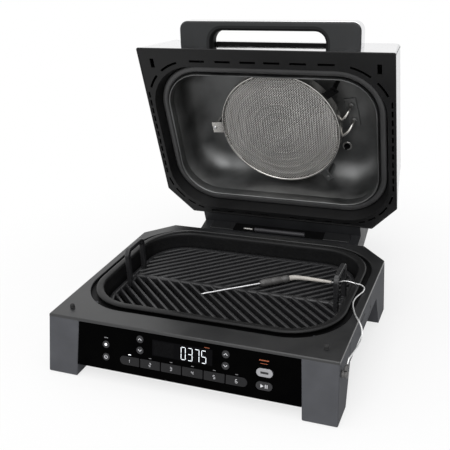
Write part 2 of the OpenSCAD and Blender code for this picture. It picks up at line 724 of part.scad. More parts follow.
module handle_plan(grow) {
    w = handle_w / 2 + grow;
    o = handle_out + grow;
    r = 14 + grow;
    translate([-w, r - o]) square([2 * w, o - r]);
    translate([r - w, -o]) square([2 * w - 2 * r, o]);
    for (x = [-1, 1]) translate([x * (w - r), r - o]) circle(r);
}

module handle_core() at_wall() color([0.22, 0.23, 0.24]) translate([0, 0, handle_at])
    linear_extrude(handle_h) difference() {
        handle_plan(0);
        translate([0, (bar_t - handle_out) / 2 + 6]) union() {
            rrect(grip_w, handle_out - bar_t + 12, 14);
        }
    }

module handle_skin() at_wall() color([0.85, 0.85, 0.85]) translate([0, 0, handle_at + 3])
    linear_extrude(handle_h - 4) difference() {
        handle_plan(1.2);
        handle_plan(0);
    }

// Housing behind the lid that turns on the hinge pins
module hinge_housing() at_lid() color([0.2, 0.21, 0.21]) difference() {
    across(-arm_half, arm_half) difference() {
        union() {
            polygon([[body_d - 8, rim_z + 74], [body_d + 0.2, rim_z + 0.5], [body_d + 22, rim_z + 1],
                [body_d + 21.4, rim_z - 24], [hinge_y - 16, hinge_z], [hinge_y, hinge_z - 18],
                [hinge_y + 22, hinge_z + 4], [body_d + 61, rim_z + 20], [body_d + 56, rim_z + 66],
                [body_d + 50, rim_z + 74]]);
            translate([hinge_y, hinge_z]) circle(18);
        }
        translate([hinge_y, hinge_z]) circle(pin_r + 0.05);
    }
    // hollow between the two end walls
    across(-arm_half + 16, arm_half - 16) polygon([[body_d + 2, rim_z + 4.5], [body_d + 26, rim_z + 5],
        [body_d + 25.4, rim_z - 24], [hinge_y - 12, hinge_z + 2], [hinge_y, hinge_z - 13],
        [hinge_y + 17.5, hinge_z + 6], [body_d + 57, rim_z + 20], [body_d + 52.4, rim_z + 64],
        [body_d + 48, rim_z + 70], [body_d + 1, rim_z + 70]]);
    stack(shell_rings(0, 0));
}

// Fan, motor and heater in the lid, all on the fan axis

module at_fan(z) at_lid() translate([0, fan_y, z]) children();

module motor_bracket() at_fan(ceil_z + 1.2) color([0.5, 0.5, 0.52]) {
    translate([0, 0, 10.8]) difference() {
        cylinder(r = 62, h = 2);
        translate([0, 0, -1]) cylinder(r = shaft_r + 3, h = 4);
    }
    for (a = [45:90:315]) rotate([0, 0, a]) translate([55, 0, 0]) cylinder(r = 4, h = 11.5);
}

module fan_motor() at_fan(motor_z) color([0.45, 0.45, 0.47]) difference() {
    union() {
        cylinder(r = 34, h = 20);
        cylinder(r = 40, h = 3);
    }
    translate([0, 0, -1]) cylinder(r = shaft_r + 0.06, h = 18);
}

module heater_coil() at_fan(ceil_z - 22) color([0.32, 0.3, 0.29]) {
    rotate_extrude() translate([coil_r, 0]) circle(tube_r);
    rotate_extrude() translate([coil_r - 12, 0]) circle(tube_r);
    for (a = lead_turns) rotate([0, 0, a]) {
        translate([coil_r - 14, 0, 0]) rotate([0, 90, 0]) cylinder(r = lead_r, h = lead_x - coil_r + 14);
        translate([lead_x, 0, 0]) sphere(lead_r);
        translate([lead_x, 0, 0]) cylinder(r = lead_r, h = 21.8);
    }
}

// Plate on the ceiling that the coil's two ends pass through
module heater_terminal() at_fan(ceil_z - 4) color([0.55, 0.54, 0.52]) difference() {
    rotate([0, 0, (lead_turns[0] + lead_turns[1]) / 2]) block(lead_x - 13, lead_x + 9, -28, 28, 1, 4);
    for (a = lead_turns) rotate([0, 0, a]) translate([lead_x, 0, 0]) cylinder(r = lead_r + 0.2, h = 10);
}

// Round pan of pressed rings that guards the fan
module mesh_cover() at_fan(mesh_z) color([0.62, 0.6, 0.57]) {
    linear_extrude(1.6) {
        for (r = [14, 32, 50, 68, 86, mesh_r - 5]) difference() { circle(r + 5); circle(r - 5); }
        circle(10);
        for (a = [0:30:150]) rotate(a) square([2 * mesh_r - 8, 5], center = true);
    }
    linear_extrude(cav_h - mesh_at - 27) difference() { circle(mesh_r); circle(mesh_r - 1.4); }
}

// Flat tabs on posts that hang the mesh cover from the ceiling
module mesh_brackets() at_fan(mesh_z) color([0.6, 0.6, 0.58]) {
    difference() {
        for (a = tab_turns) rotate([0, 0, a]) block(mesh_r - 3, mesh_r + 25, -7, 7, 6, 7.6);
        cylinder(r = mesh_r, h = 20);
    }
    for (a = tab_turns) rotate([0, 0, a]) translate([mesh_r + 18, 0, 0]) {
        translate([0, 0, 7]) cylinder(r = 4, h = cav_h - mesh_at - 7);
        translate([0, 0, 3.6]) cylinder(r = 3.6, h = 3);
    }
}

module air_sensor() at_fan(ceil_z - 12) color([0.7, 0.7, 0.7]) translate([cav_w / 2 - 75.5, 56.5, 0]) {
    cylinder(r = 2.5, h = 12);
    translate([0, 0, 9]) cylinder(r = 6, h = 3);
}

module fan_shaft() at_fan(ceil_z - 18) color([0.7, 0.7, 0.72]) cylinder(r = shaft_r, h = 48);

module fan_blade() at_fan(ceil_z - 16) color([0.6, 0.6, 0.6]) difference() {
    union() {
        cylinder(r = 11, h = 10);
        cylinder(r = fan_r - 6, h = 1.2);
        for (a = [0:60:300]) rotate([0, 0, a]) translate([9, 0, 0.6]) rotate([18, 0, 0])
            block(0, fan_r - 9, -0.7, 0.7, 0, 11);
    }
    translate([0, 0, -2]) cylinder(r = shaft_r + 0.02, h = 30);
}

module cooling_blade() at_fan(ceil_z + 3.5) color([0.65, 0.65, 0.66]) difference() {
    union() {
        cylinder(r = 8, h = 6);
        for (a = [0:72:288]) rotate([0, 0, a]) translate([6, 0, 0.4]) rotate([20, 0, 0])
            block(0, 34, -0.6, 0.6, 0, 5.2);
    }
    translate([0, 0, -2]) cylinder(r = shaft_r + 0.02, h = 30);
}

// Pot and grate

module cooking_pot() at_base() color([0.13, 0.13, 0.14]) difference() {
    union() {
        well_plan(pot_w - 2 * flange_w + 2 * pot_t, pot_d - 2 * flange_w + 2 * pot_t,
            pot_r - flange_w + pot_t, pot_low, flange_z);
        well_plan(pot_w, pot_d, pot_r, flange_z - 3, flange_z);
    }
    well_plan(pot_w - 2 * flange_w, pot_d - 2 * flange_w, pot_r - flange_w,
        pot_low + pot_t + 0.5, body_h + 20);
    // underside of the flange is hollow, with a turned-down edge
    difference() {
        well_plan(pot_w - 3, pot_d - 3, pot_r - 1.5, flange_z - 4, flange_z - 1.6);
        well_plan(pot_w - 2 * flange_w + 2 * pot_t, pot_d - 2 * flange_w + 2 * pot_t,
            pot_r - flange_w + pot_t, flange_z - 5, flange_z);
    }
}

// Half of the rib pattern; the other half is its mirror about the middle bar
module rib_half() {
    gw = pot_w - 2 * flange_w - 8;
    gd = pot_d - 2 * flange_w - 8;
    gr = pot_r - flange_w - 4;
    intersection() {
        rrect(gw, gd, gr);
        translate([-gw / 2, 0]) square([gw, gd / 2]);
        for (i = [-14:14]) translate([i * rib_pitch, 0]) rotate(rib_deg)
            translate([-20, -rib_w / 2]) square([gd, rib_w]);
    }
}

module grill_grate() at_base() color([0.1, 0.1, 0.11]) {
    gw = pot_w - 2 * flange_w - 8;
    gd = pot_d - 2 * flange_w - 8;
    gr = pot_r - flange_w - 4;
    translate([0, pot_y, grate_top - grate_t]) linear_extrude(grate_t) {
        difference() { rrect(gw, gd, gr); rrect(gw - 18, gd - 18, gr - 9); }
        square([gw - 4, 9], center = true);
        rib_half();
        mirror([0, 1]) rib_half();
    }
    for (x = [-1, 1]) for (y = [-1, 1])
        translate([x * (gw / 2 - gr + 19), pot_y + y * (gd / 2 - 12), pot_low + pot_t + 0.5])
        cylinder(r = 5, h = grate_top - pot_low - pot_t - 4);
    both() across(gw / 2 - 13.5, gw / 2 - 6) translate([pot_y + 2, 0]) loop_shape();
}

// Lifting loop seen from the side
module loop_shape() {
    z0 = grate_top - grate_t;
    z1 = grate_top + loop_up;
    h = loop_l / 2;
    difference() {
        union() {
            translate([-h, z0]) square([loop_l, z1 - z0 - 12]);
            translate([12 - h, z0]) square([loop_l - 24, z1 - z0]);
            for (x = [-1, 1]) translate([x * (h - 12), z1 - 12]) circle(12);
        }
        translate([8 - h, grate_top]) square([loop_l - 16, loop_up - 7]);
    }
}

// Probe and its cord

module at_probe() at_base() translate(probe_start) rotate([0, 0, probe_deg]) children();

module probe_needle() at_probe() color([0.75, 0.75, 0.76]) rotate([0, -90, 0]) {
    translate([0, 0, -6]) cylinder(r = 1.6, h = needle_l);
    translate([0, 0, needle_l - 6]) cylinder(r1 = 1.6, r2 = 0.3, h = 6);
}

module probe_grip() at_probe() color([0.06, 0.06, 0.07]) rotate([0, 90, 0]) difference() {
    union() {
        cylinder(r = grip_r - 0.6, h = grip_l);
        translate([0, 0, 3]) cylinder(r = grip_r, h = grip_l * 0.62);
        translate([0, 0, grip_l - 9]) cylinder(r = grip_r, h = 7);
    }
    translate([0, 0, -1]) cylinder(r = 1.6, h = 7);
}

module probe_boot() at_base() color([0.4, 0.4, 0.41]) sweep(bent(boot_path, 4), [4.6, 2.1], 12);

module cord_inner() at_base() color([0.8, 0.8, 0.8]) sweep(bent(cord_in, 4), [cord_r, cord_r], 8);

module cord_outer() at_base() color([0.8, 0.8, 0.8]) sweep(bent(cord_out, 3), [cord_r, cord_r], 8);

// Smooth line through a list of route points, with n steps between points
function bend_at(a, b, c, d, s) = 0.5 * (2 * b + (c - a) * s + (2 * a - 5 * b + 4 * c - d) * s * s
    + (3 * b - a - 3 * c + d) * s * s * s);

function bent(p, n) = concat([for (i = [0:len(p) - 2]) for (k = [0:n - 1])
    bend_at(p[max(i - 1, 0)], p[i], p[i + 1], p[min(i + 2, len(p) - 1)], k / n)], [p[len(p) - 1]]);

function unit(v) = v / norm(v);

function aim(p, i) = unit(p[min(i + 1, len(p) - 1)] - p[max(i - 1, 0)]);

// Side vector carried along the line so the rings do not twist
function carry(p, i) = i == 0 ? unit(cross(aim(p, 0), abs(aim(p, 0)[2]) < 0.9 ? [0, 0, 1] : [1, 0, 0]))
    : let (u = carry(p, i - 1), t = aim(p, i)) unit(u - t * (u * t));

// Round tube along a line, with the radius running from r[0] to r[1]
module sweep(p, r, sides) {
    m = len(p) - 1;
    stack([for (i = [0:m]) let (u = carry(p, i), v = cross(aim(p, i), u), q = r[0] + (r[1] - r[0]) * i / m)
        [for (k = [0:sides - 1]) p[i] + q * (u * cos(-360 * k / sides) + v * sin(-360 * k / sides))]]);
}

base_frame();
front_legs();
front_rail();
deck_cover();
bottom_tub();
foot_pads();
well_liner();
lower_heater();
control_fascia();
display_window();
display_module();
control_board();
power_board();
key_clock();
key_power();
key_left_up();
key_left_down();
key_right_up();
key_right_down();
key_mode_1();
key_mode_2();
key_mode_3();
key_mode_4();
key_mode_5();
key_mode_6();
key_set();
key_start();
lid_bumpers();
mains_gland();
hinge_pins();
probe_jack();
probe_plug();
plug_relief();
probe_tray();
lid_shell();
lid_frame();
lid_liner();
lid_ceiling();
lid_seal();
handle_core();
handle_skin();
hinge_housing();
motor_bracket();
fan_motor();
heater_coil();
heater_terminal();
mesh_cover();
mesh_brackets();
air_sensor();
fan_shaft();
fan_blade();
cooling_blade();
cooking_pot();
grill_grate();
probe_needle();
probe_grip();
probe_boot();
cord_inner();
cord_outer();
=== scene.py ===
import json
import math

import bmesh
import bpy
from mathutils import Matrix, Vector

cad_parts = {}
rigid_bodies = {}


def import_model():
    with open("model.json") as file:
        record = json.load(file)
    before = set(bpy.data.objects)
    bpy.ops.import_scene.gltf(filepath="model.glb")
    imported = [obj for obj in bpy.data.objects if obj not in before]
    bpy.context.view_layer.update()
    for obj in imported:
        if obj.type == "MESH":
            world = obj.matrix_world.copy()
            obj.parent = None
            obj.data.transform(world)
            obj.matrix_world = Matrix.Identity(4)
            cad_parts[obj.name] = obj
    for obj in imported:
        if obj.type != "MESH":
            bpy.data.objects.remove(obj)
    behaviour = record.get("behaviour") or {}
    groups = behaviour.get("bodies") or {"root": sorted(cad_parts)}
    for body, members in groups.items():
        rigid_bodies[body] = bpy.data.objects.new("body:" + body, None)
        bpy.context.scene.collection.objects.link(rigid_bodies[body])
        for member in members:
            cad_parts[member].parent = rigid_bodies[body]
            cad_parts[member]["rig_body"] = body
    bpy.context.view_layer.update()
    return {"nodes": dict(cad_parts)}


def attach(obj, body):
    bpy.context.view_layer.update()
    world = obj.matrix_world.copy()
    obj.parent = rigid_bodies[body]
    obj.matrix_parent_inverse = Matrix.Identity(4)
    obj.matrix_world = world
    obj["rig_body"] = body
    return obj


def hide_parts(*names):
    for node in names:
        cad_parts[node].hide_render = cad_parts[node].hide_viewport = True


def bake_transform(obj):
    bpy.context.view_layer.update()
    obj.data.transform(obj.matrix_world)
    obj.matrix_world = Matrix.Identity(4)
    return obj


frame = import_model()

# The studio: a pale seamless floor under white light that comes mostly from the front left, with one broad
# soft lamp high at the front and a weaker one overhead. The camera stands where the photo was taken from.
scene = bpy.context.scene
scene.view_settings.view_transform = "Standard"
SKY_DIM, SKY_BRIGHT = 0.2, 1.0
SKY_FROM = (-0.5, -0.85, 0.1)
SHADOW_VEIL = 0.72
SHADOW_NEAR, SHADOW_FAR = 0.25, 0.75

camera = bpy.data.objects.new("camera", bpy.data.cameras.new("camera"))
scene.collection.objects.link(camera)
CAMERA_AT = (0.4132, -1.0989, 0.6490)
CAMERA_DEG = (22.60, 23.07, -3.01)
camera.data.lens = 59.91
camera.data.sensor_width = 36
camera.data.sensor_fit = "HORIZONTAL"
turn, rise, roll = (math.radians(a) for a in CAMERA_DEG)
back = Vector((math.sin(turn) * math.cos(rise), -math.cos(turn) * math.cos(rise), math.sin(rise)))
right = Vector((math.cos(turn), math.sin(turn), 0))
above = back.cross(right)
across_view = math.cos(roll) * right + math.sin(roll) * above
up_view = math.cos(roll) * above - math.sin(roll) * right
camera.matrix_world = (Matrix.Translation(CAMERA_AT)
                       @ Matrix((across_view, up_view, back)).transposed().to_4x4())
scene.camera = camera


def plain_view(tree):
    """1 for a ray that shows the background as such: seen directly, in a reflection or through glass."""
    ray = tree.nodes.new("ShaderNodeLightPath")
    shown = ray.outputs["Is Camera Ray"]
    for kind in ("Is Glossy Ray", "Is Transmission Ray"):
        either = tree.nodes.new("ShaderNodeMath")
        either.operation = "MAXIMUM"
        tree.links.new(shown, either.inputs[0])
        tree.links.new(ray.outputs[kind], either.inputs[1])
        shown = either.outputs[0]
    return shown


studio = bpy.data.worlds.new("studio")
scene.world = studio
studio.use_nodes = True
tree = studio.node_tree
level = tree.nodes.new("ShaderNodeMapRange")
looking = tree.nodes.new("ShaderNodeTexCoord")
side = tree.nodes.new("ShaderNodeVectorMath")
side.operation = "DOT_PRODUCT"
side.inputs[1].default_value = SKY_FROM
sky = tree.nodes.new("ShaderNodeMapRange")
for socket, value in (("From Min", -1), ("To Min", SKY_DIM), ("To Max", SKY_BRIGHT)):
    sky.inputs[socket].default_value = value
backdrop = tree.nodes["Background"]
backdrop.inputs["Color"].default_value = (1, 1, 1, 1)
for a, b in ((looking.outputs["Generated"], side.inputs[0]), (side.outputs["Value"], sky.inputs["Value"]),
             (sky.outputs[0], level.inputs["To Min"]), (plain_view(tree), level.inputs["Value"]),
             (level.outputs[0], backdrop.inputs["Strength"])):
    tree.links.new(a, b)

LAMPS_AIM = Vector((0, 0, 0.1))
for name, place, size, power in (("key_lamp", (0.3, -1.8, 1.9), 2.0, 26),
                                 ("top_lamp", (0.1, 0.2, 2.3), 1.8, 14)):
    lamp = bpy.data.objects.new(name, bpy.data.lights.new(name, "AREA"))
    scene.collection.objects.link(lamp)
    lamp.data.size = size
    lamp.data.energy = power
    lamp.location = place
    lamp.rotation_euler = (LAMPS_AIM - Vector(place)).to_track_quat("-Z", "Y").to_euler()

FLOOR_HALF, FLOOR_Z = 4, -0.0003
floor_corners = [(x * FLOOR_HALF, y * FLOOR_HALF, FLOOR_Z) for x, y in ((-1, -1), (1, -1), (1, 1), (-1, 1))]
floor_mesh = bpy.data.meshes.new("floor")
floor_mesh.from_pydata(floor_corners, [], [(0, 1, 2, 3)])
floor = bpy.data.objects.new("floor", floor_mesh)
scene.collection.objects.link(floor)
paper = bpy.data.materials.new("seamless_paper")
paper.use_nodes = True
floor_mesh.materials.append(paper)
tree = paper.node_tree
tree.nodes.remove(tree.nodes["Principled BSDF"])
matt = tree.nodes.new("ShaderNodeBsdfDiffuse")
matt.inputs["Color"].default_value = (0.88, 0.88, 0.88, 1)
glow = tree.nodes.new("ShaderNodeEmission")
where = tree.nodes.new("ShaderNodeTexCoord")
far = tree.nodes.new("ShaderNodeVectorMath")
far.operation = "LENGTH"
veil = tree.nodes.new("ShaderNodeMapRange")
veil.interpolation_type = "SMOOTHSTEP"
for socket, value in (("From Min", SHADOW_NEAR), ("From Max", SHADOW_FAR), ("To Min", SHADOW_VEIL),
                      ("To Max", 1.0)):
    veil.inputs[socket].default_value = value
amount = tree.nodes.new("ShaderNodeMath")
amount.operation = "MULTIPLY"
blend_in = tree.nodes.new("ShaderNodeMixShader")
for a, b in ((where.outputs["Object"], far.inputs[0]), (far.outputs["Value"], veil.inputs["Value"]),
             (veil.outputs[0], amount.inputs[0]), (plain_view(tree), amount.inputs[1]),
             (amount.outputs[0], blend_in.inputs[0]), (matt.outputs[0], blend_in.inputs[1]),
             (glow.outputs[0], blend_in.inputs[2]),
             (blend_in.outputs[0], tree.nodes["Material Output"].inputs["Surface"])):
    tree.links.new(a, b)

# The base moulding: one grey plastic moulding with side skirts, rear wall, rear legs and hinge ears, and
# two heavy hollow legs screwed to it at the front. Fine mould grain, edges eased, parting at the deck.
MID_Y = 279.9011
DECK_Z = 92
FRONT_LEAN = 18.5
on_base = Matrix.Scale(0.001, 4) @ Matrix.Translation((0, -MID_Y, 0))


def new_finish(name, colour, rough, metal=0.0, specular=0.5):
    """A material with its even values set on the shader."""
    finish = bpy.data.materials.new(name)
    finish.use_nodes = True
    shader = finish.node_tree.nodes["Principled BSDF"]
    shader.inputs["Base Color"].default_value = (*colour, 1)
    shader.inputs["Roughness"].default_value = rough
    shader.inputs["Metallic"].default_value = metal
    shader.inputs["Specular IOR Level"].default_value = specular
    return finish


def grain(finish, size, stretch=(1, 1, 1), detail=2.0):
    """Noise of that size in millimetres, fixed to the piece."""
    tree = finish.node_tree
    where = tree.nodes.new("ShaderNodeTexCoord")
    spread = tree.nodes.new("ShaderNodeMapping")
    spread.inputs["Scale"].default_value = [1000 / size * s for s in stretch]
    pattern = tree.nodes.new("ShaderNodeTexNoise")
    pattern.inputs["Scale"].default_value = 1
    pattern.inputs["Detail"].default_value = detail
    tree.links.new(where.outputs["Object"], spread.inputs["Vector"])
    tree.links.new(spread.outputs["Vector"], pattern.inputs["Vector"])
    return pattern.outputs["Fac"]


NOISE_LOW, NOISE_HIGH = 0.3, 0.7


def tint(finish, pattern, dark, light, low=NOISE_LOW, high=NOISE_HIGH):
    """Colour that wanders between two tones with the pattern."""
    tree = finish.node_tree
    ramp = tree.nodes.new("ShaderNodeValToRGB")
    for stop, place, colour in zip(ramp.color_ramp.elements, (low, high), (dark, light)):
        stop.position = place
        stop.color = (*colour, 1)
    tree.links.new(pattern, ramp.inputs["Fac"])
    tree.links.new(ramp.outputs["Color"], tree.nodes["Principled BSDF"].inputs["Base Color"])


def polish(finish, pattern, low, high):
    """Roughness that wanders between two values with the pattern."""
    tree = finish.node_tree
    span = tree.nodes.new("ShaderNodeMapRange")
    for socket, value in (("From Min", NOISE_LOW), ("From Max", NOISE_HIGH),
                          ("To Min", low), ("To Max", high)):
        span.inputs[socket].default_value = value
    tree.links.new(pattern, span.inputs["Value"])
    tree.links.new(span.outputs[0], tree.nodes["Principled BSDF"].inputs["Roughness"])


def relief(finish, pattern, depth):
    """Surface relief of that depth in millimetres."""
    tree = finish.node_tree
    bump = tree.nodes.new("ShaderNodeBump")
    bump.inputs["Distance"].default_value = depth * 0.001
    bump.inputs["Strength"].default_value = 1
    tree.links.new(pattern, bump.inputs["Height"])
    tree.links.new(bump.outputs["Normal"], tree.nodes["Principled BSDF"].inputs["Normal"])


PATCH_SIZE = 40
PATCH_TONE = 0.1


def moulded(name, colour, rough, grain_size=0.7, depth=0.03, specular=0.5, metal=0.0):
    """Moulded plastic or plain metal: slight unevenness of tone and gloss under a fine grain."""
    finish = new_finish(name, colour, rough, metal, specular)
    patch = grain(finish, PATCH_SIZE)
    tint(finish, patch, [c * (1 - PATCH_TONE) for c in colour], [c * (1 + PATCH_TONE) for c in colour])
    polish(finish, patch, rough * 0.9, rough * 1.12)
    relief(finish, grain(finish, grain_size), depth)
    return finish


def loft(rings, wrap=False):
    """Skin through rings of equal count, with both ends closed unless the rings wrap round."""
    count = len(rings[0])
    points = [p for ring in rings for p in ring]
    faces = []
    for k in range(len(rings) - (0 if wrap else 1)):
        here, there = k * count, (k + 1) % len(rings) * count
        for i in range(count):
            j = (i + 1) % count
            faces.append((here + i, here + j, there + j, there + i))
    if not wrap:
        faces.append(tuple(range(count))[::-1])
        faces.append(tuple(range(len(points) - count, len(points))))
    return points, faces


def together(*shapes):
    """Several shapes as one mesh."""
    points, faces = [], []
    for some_points, some_faces in shapes:
        faces += [tuple(i + len(points) for i in face) for face in some_faces]
        points += list(some_points)
    return points, faces


def mirrored(shape):
    """The shape and its mirror image across the middle."""
    points, faces = shape
    return together(shape, ([(-p[0], p[1], p[2]) for p in points], faces))


EDGE_DEG = 30


def ease(obj, radius, steps=3):
    """Rounds the edges by that radius in millimetres and keeps the flats flat."""
    bevel = obj.modifiers.new("eased_edges", "BEVEL")
    bevel.width = radius * 0.001
    bevel.segments = steps
    bevel.limit_method = "ANGLE"
    bevel.angle_limit = math.radians(EDGE_DEG)
    obj.modifiers.new("flat_faces", "WEIGHTED_NORMAL").keep_sharp = True


def piece(name, shape, place, finish, body, nodes=(), sharp=35):
    """Makes a mesh from millimetres in its own place, and sets it on its body."""
    mesh = bpy.data.meshes.new(name)
    mesh.from_pydata([tuple(p) for p in shape[0]], [], shape[1])
    mesh.transform(place)
    work = bmesh.new()
    work.from_mesh(mesh)
    bmesh.ops.remove_doubles(work, verts=work.verts, dist=1e-7)
    bmesh.ops.dissolve_degenerate(work, edges=work.edges, dist=1e-7)
    bmesh.ops.recalc_face_normals(work, faces=work.faces)
    work.to_mesh(mesh)
    work.free()
    mesh.shade_smooth()
    mesh.set_sharp_from_angle(angle=math.radians(sharp))
    mesh.materials.append(finish)
    obj = bpy.data.objects.new(name, mesh)
    scene.collection.objects.link(obj)
    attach(obj, body)
    if nodes:
        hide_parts(*nodes)
    return obj


def eased(name, node, radius, finish, steps=2):
    """The node's own solid with its edges rounded as the mould leaves them."""
    cad = frame["nodes"][node]
    work = bmesh.new()
    work.from_mesh(cad.data)
    bmesh.ops.remove_doubles(work, verts=work.verts, dist=1e-6)
    bmesh.ops.dissolve_limit(work, angle_limit=math.radians(0.5), verts=work.verts, edges=work.edges)
    work.verts.index_update()
    shape = ([v.co.copy() for v in work.verts], [[v.index for v in f.verts] for f in work.faces])
    work.free()
    obj = piece(name, shape, Matrix.Identity(4), finish, cad["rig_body"], [node])
    ease(obj, radius, steps)


def dress(finish, *nodes):
    """Gives CAD nodes that stay as they are their finish."""
    for node in nodes:
        data = frame["nodes"][node].data
        data.materials.clear()
        data.materials.append(finish)


base_grey = moulded("base_grey", (0.078, 0.08, 0.087), 0.5, specular=0.02)
black_plastic = moulded("black_plastic", (0.012, 0.012, 0.013), 0.45)
foot_rubber = moulded("foot_rubber", (0.012, 0.012, 0.012), 0.8, 1.2, 0.06)
bright_steel = moulded("bright_steel", (0.62, 0.62, 0.63), 0.28, 0.4, 0.006, metal=1.0)


def lean(z):
    """How far forward the front stands at that height."""
    return -FRONT_LEAN * (1 - z / DECK_Z)


LEG_FOOT, LEG_TOP = 0.6, 89.5
LEG_INNER, INNER_TAPER = 177, 5
LEG_OUTER, OUTER_TAPER = 227.4, 2.4
leg_side = [(lean(LEG_FOOT), LEG_FOOT), (29, LEG_FOOT), (60, 57), (60, LEG_TOP), (lean(LEG_TOP), LEG_TOP)]
front_leg = loft([[(x - taper * z / DECK_Z, y, z) for y, z in leg_side]
                  for x, taper in ((LEG_INNER, INNER_TAPER), (LEG_OUTER, OUTER_TAPER))])
legs = piece("leg_pair", mirrored(front_leg), on_base, base_grey, "base", ["front_legs"])
ease(legs, 2.0, 4)
eased("base_moulding", "base_frame", 1.2, base_grey)
dress(black_plastic, "front_rail", "bottom_tub", "probe_jack")
dress(foot_rubber, "foot_pads", "mains_gland")
dress(bright_steel, "hinge_pins")

# The deck cover: one satin plate over the whole base, with the large opening for the pot. It is moulded
# darker and finer than the legs, so it mirrors the lid and the light at a low angle.
deck_grey = moulded("deck_grey", (0.010, 0.0103, 0.011), 0.34, 0.5, 0.012, specular=0.66)
eased("deck_plate", "deck_cover", 1.5, deck_grey, 4)


# The two lid rests: domes of soft black rubber pressed into the deck near its front corners. The rim of the
# closed lid comes down over them.
def circle(steps):
    """Points round a circle of radius one."""
    return [(math.cos(2 * math.pi * k / steps), math.sin(2 * math.pi * k / steps)) for k in range(steps)]


def revolve(profile, steps, middle=(0, 0, 0)):
    """Solid turned from (radius, height) points about its own upright axis."""
    x, y, z = middle
    return loft([[(x + r * c, y + r * s, z + h) for c, s in circle(steps)] for r, h in profile])


REST_X, REST_Y = 200, 27
dome = [(0.001, 0), (4, 0), (4, 0.8), (3.6, 1.2), (3.5, 3.6), (3.1, 5.0), (2.2, 5.8), (1.1, 6.2),
        (0.001, 6.3)]
piece("lid_rests", mirrored(revolve(dome, 24, (REST_X, REST_Y, DECK_Z))), on_base, foot_rubber, "base",
      ["lid_bumpers"])

# The well: a pressed steel liner with a black coating, hung in the deck's opening. The lower heating loop, a
# dark sheathed tube, lies on its floor under the pot.
liner_coat = moulded("liner_coat", (0.0025, 0.0025, 0.0027), 0.5, 1.5, 0.02, specular=0.1)
coil_steel = moulded("coil_steel", (0.16, 0.145, 0.13), 0.42, 0.6, 0.02, metal=1.0)
dress(liner_coat, "well_liner")
dress(coil_steel, "lower_heater")

# The control panel: a gloss black sheet between the legs, leaning back, with a window for the display and
# green circuit boards behind. Its plane has u to the right, v up the slope and w out of the sheet.
PANEL_TILT = math.atan(FRONT_LEAN / DECK_Z)
on_panel = (on_base @ Matrix.Translation((0, 0, DECK_Z))
            @ Matrix.Rotation(math.pi / 2 - PANEL_TILT, 4, "X"))
gloss_black = new_finish("gloss_black", (0.0005, 0.0005, 0.0005), 0.12, specular=0.012)
haze = grain(gloss_black, 25)
polish(gloss_black, haze, 0.09, 0.16)
tint(gloss_black, haze, (0.0003, 0.0003, 0.0004), (0.0007, 0.0007, 0.0007))
window_black = new_finish("window_black", (0.0015, 0.0015, 0.002), 0.06, specular=0.04)
polish(window_black, grain(window_black, 30), 0.05, 0.08)
eased("panel_sheet", "control_fascia", 0.3, gloss_black)
dress(window_black, "display_window")
dress(black_plastic, "display_module")
board_green = moulded("board_green", (0.01, 0.05, 0.025), 0.4, 2.0, 0.02)
dress(board_green, "control_board", "power_board")


# The marks of the panel: numerals and a dash that the display lights up, and dashes and bars printed on the
# sheet beside the keys. All are thin layers on the sheet's face; the printed ones have a slight painted glow.
def lit(name, colour, strength):
    """A mark that glows a little: lit by the display, or printed and given a painted glow."""
    finish = new_finish(name, colour, 0.4)
    shader = finish.node_tree.nodes["Principled BSDF"]
    shader.inputs["Emission Color"].default_value = (*colour, 1)
    shader.inputs["Emission Strength"].default_value = strength
    polish(finish, grain(finish, 1.0), 0.35, 0.5)
    return finish


def stroke(points, width, low, high):
    """A flat line of that width through points of the panel, from height low to high."""
    rings = []
    for i, (u, v) in enumerate(points):
        a = points[max(i - 1, 0)]
        b = points[min(i + 1, len(points) - 1)]
        du, dv = b[0] - a[0], b[1] - a[1]
        n = math.hypot(du, dv)
        su, sv = -dv / n * width / 2, du / n * width / 2
        rings.append([(u + su, v + sv, low), (u - su, v - sv, low), (u - su, v - sv, high),
                      (u + su, v + sv, high)])
    return loft(rings)


def bar(u, v, length, width, low, high):
    """A level line about a middle point."""
    return stroke([(u - length / 2, v), (u + length / 2, v)], width, low, high)


SEGMENTS = {"a": ((0, 2), (1, 2)), "b": ((1, 2), (1, 1)), "c": ((1, 1), (1, 0)), "d": ((0, 0), (1, 0)),
            "e": ((0, 0), (0, 1)), "f": ((0, 1), (0, 2)), "g": ((0, 1), (1, 1))}
NUMERALS = {"0": "abcdef", "1": "bc", "2": "abged", "3": "abgcd", "4": "fgbc", "5": "afgcd", "6": "afgedc",
            "7": "abc"}


def numeral(sign, u, v, width, height, line, low, high):
    """A seven-bar numeral with its lower left corner at u, v."""
    bars = []
    for name in NUMERALS[sign]:
        (ax, ay), (bx, by) = SEGMENTS[name]
        a = Vector((u + ax * width, v + ay * height / 2))
        b = Vector((u + bx * width, v + by * height / 2))
        gap = (b - a).normalized() * line * 0.75
        bars.append(stroke([a + gap, b - gap], line, low, high))
    return together(*bars)


display_white = lit("display_white", (0.86, 0.9, 0.94), 0.65)
print_grey_painted_glow = lit("print_grey_painted_glow", (0.16, 0.16, 0.165), 0.08)
print_amber_painted_glow = lit("print_amber_painted_glow", (0.28, 0.065, 0.02), 0.12)
ghost_black = new_finish("ghost_black", (0.0025, 0.0025, 0.003), 0.2, specular=0.04)
tint(ghost_black, grain(ghost_black, 3), (0.0018, 0.0018, 0.0021), (0.0035, 0.0035, 0.004))
FUNCTION_U = [-2.5 + (i - 2.5) * 33.6 for i in range(6)]
DASH_V = -43.3
PRINT = (0.01, 0.1)
digits = [numeral(sign, -3.6 + 10.6 * i, -35.6, 6.6, 18.6, 0.85, 0.02, 0.1)
          for i, sign in enumerate("0375")]
piece("display_numerals", together(*digits), on_panel, display_white, "base")
blank = stroke([(-47, -25.4), (-15.2, -25.4)], 20.4, 0.01, 0.06)
piece("display_blank", blank, on_panel, ghost_black, "base")
piece("lit_dash", bar(FUNCTION_U[0], DASH_V, 4.2, 1.3, 0.01, 0.12), on_panel, display_white, "base")
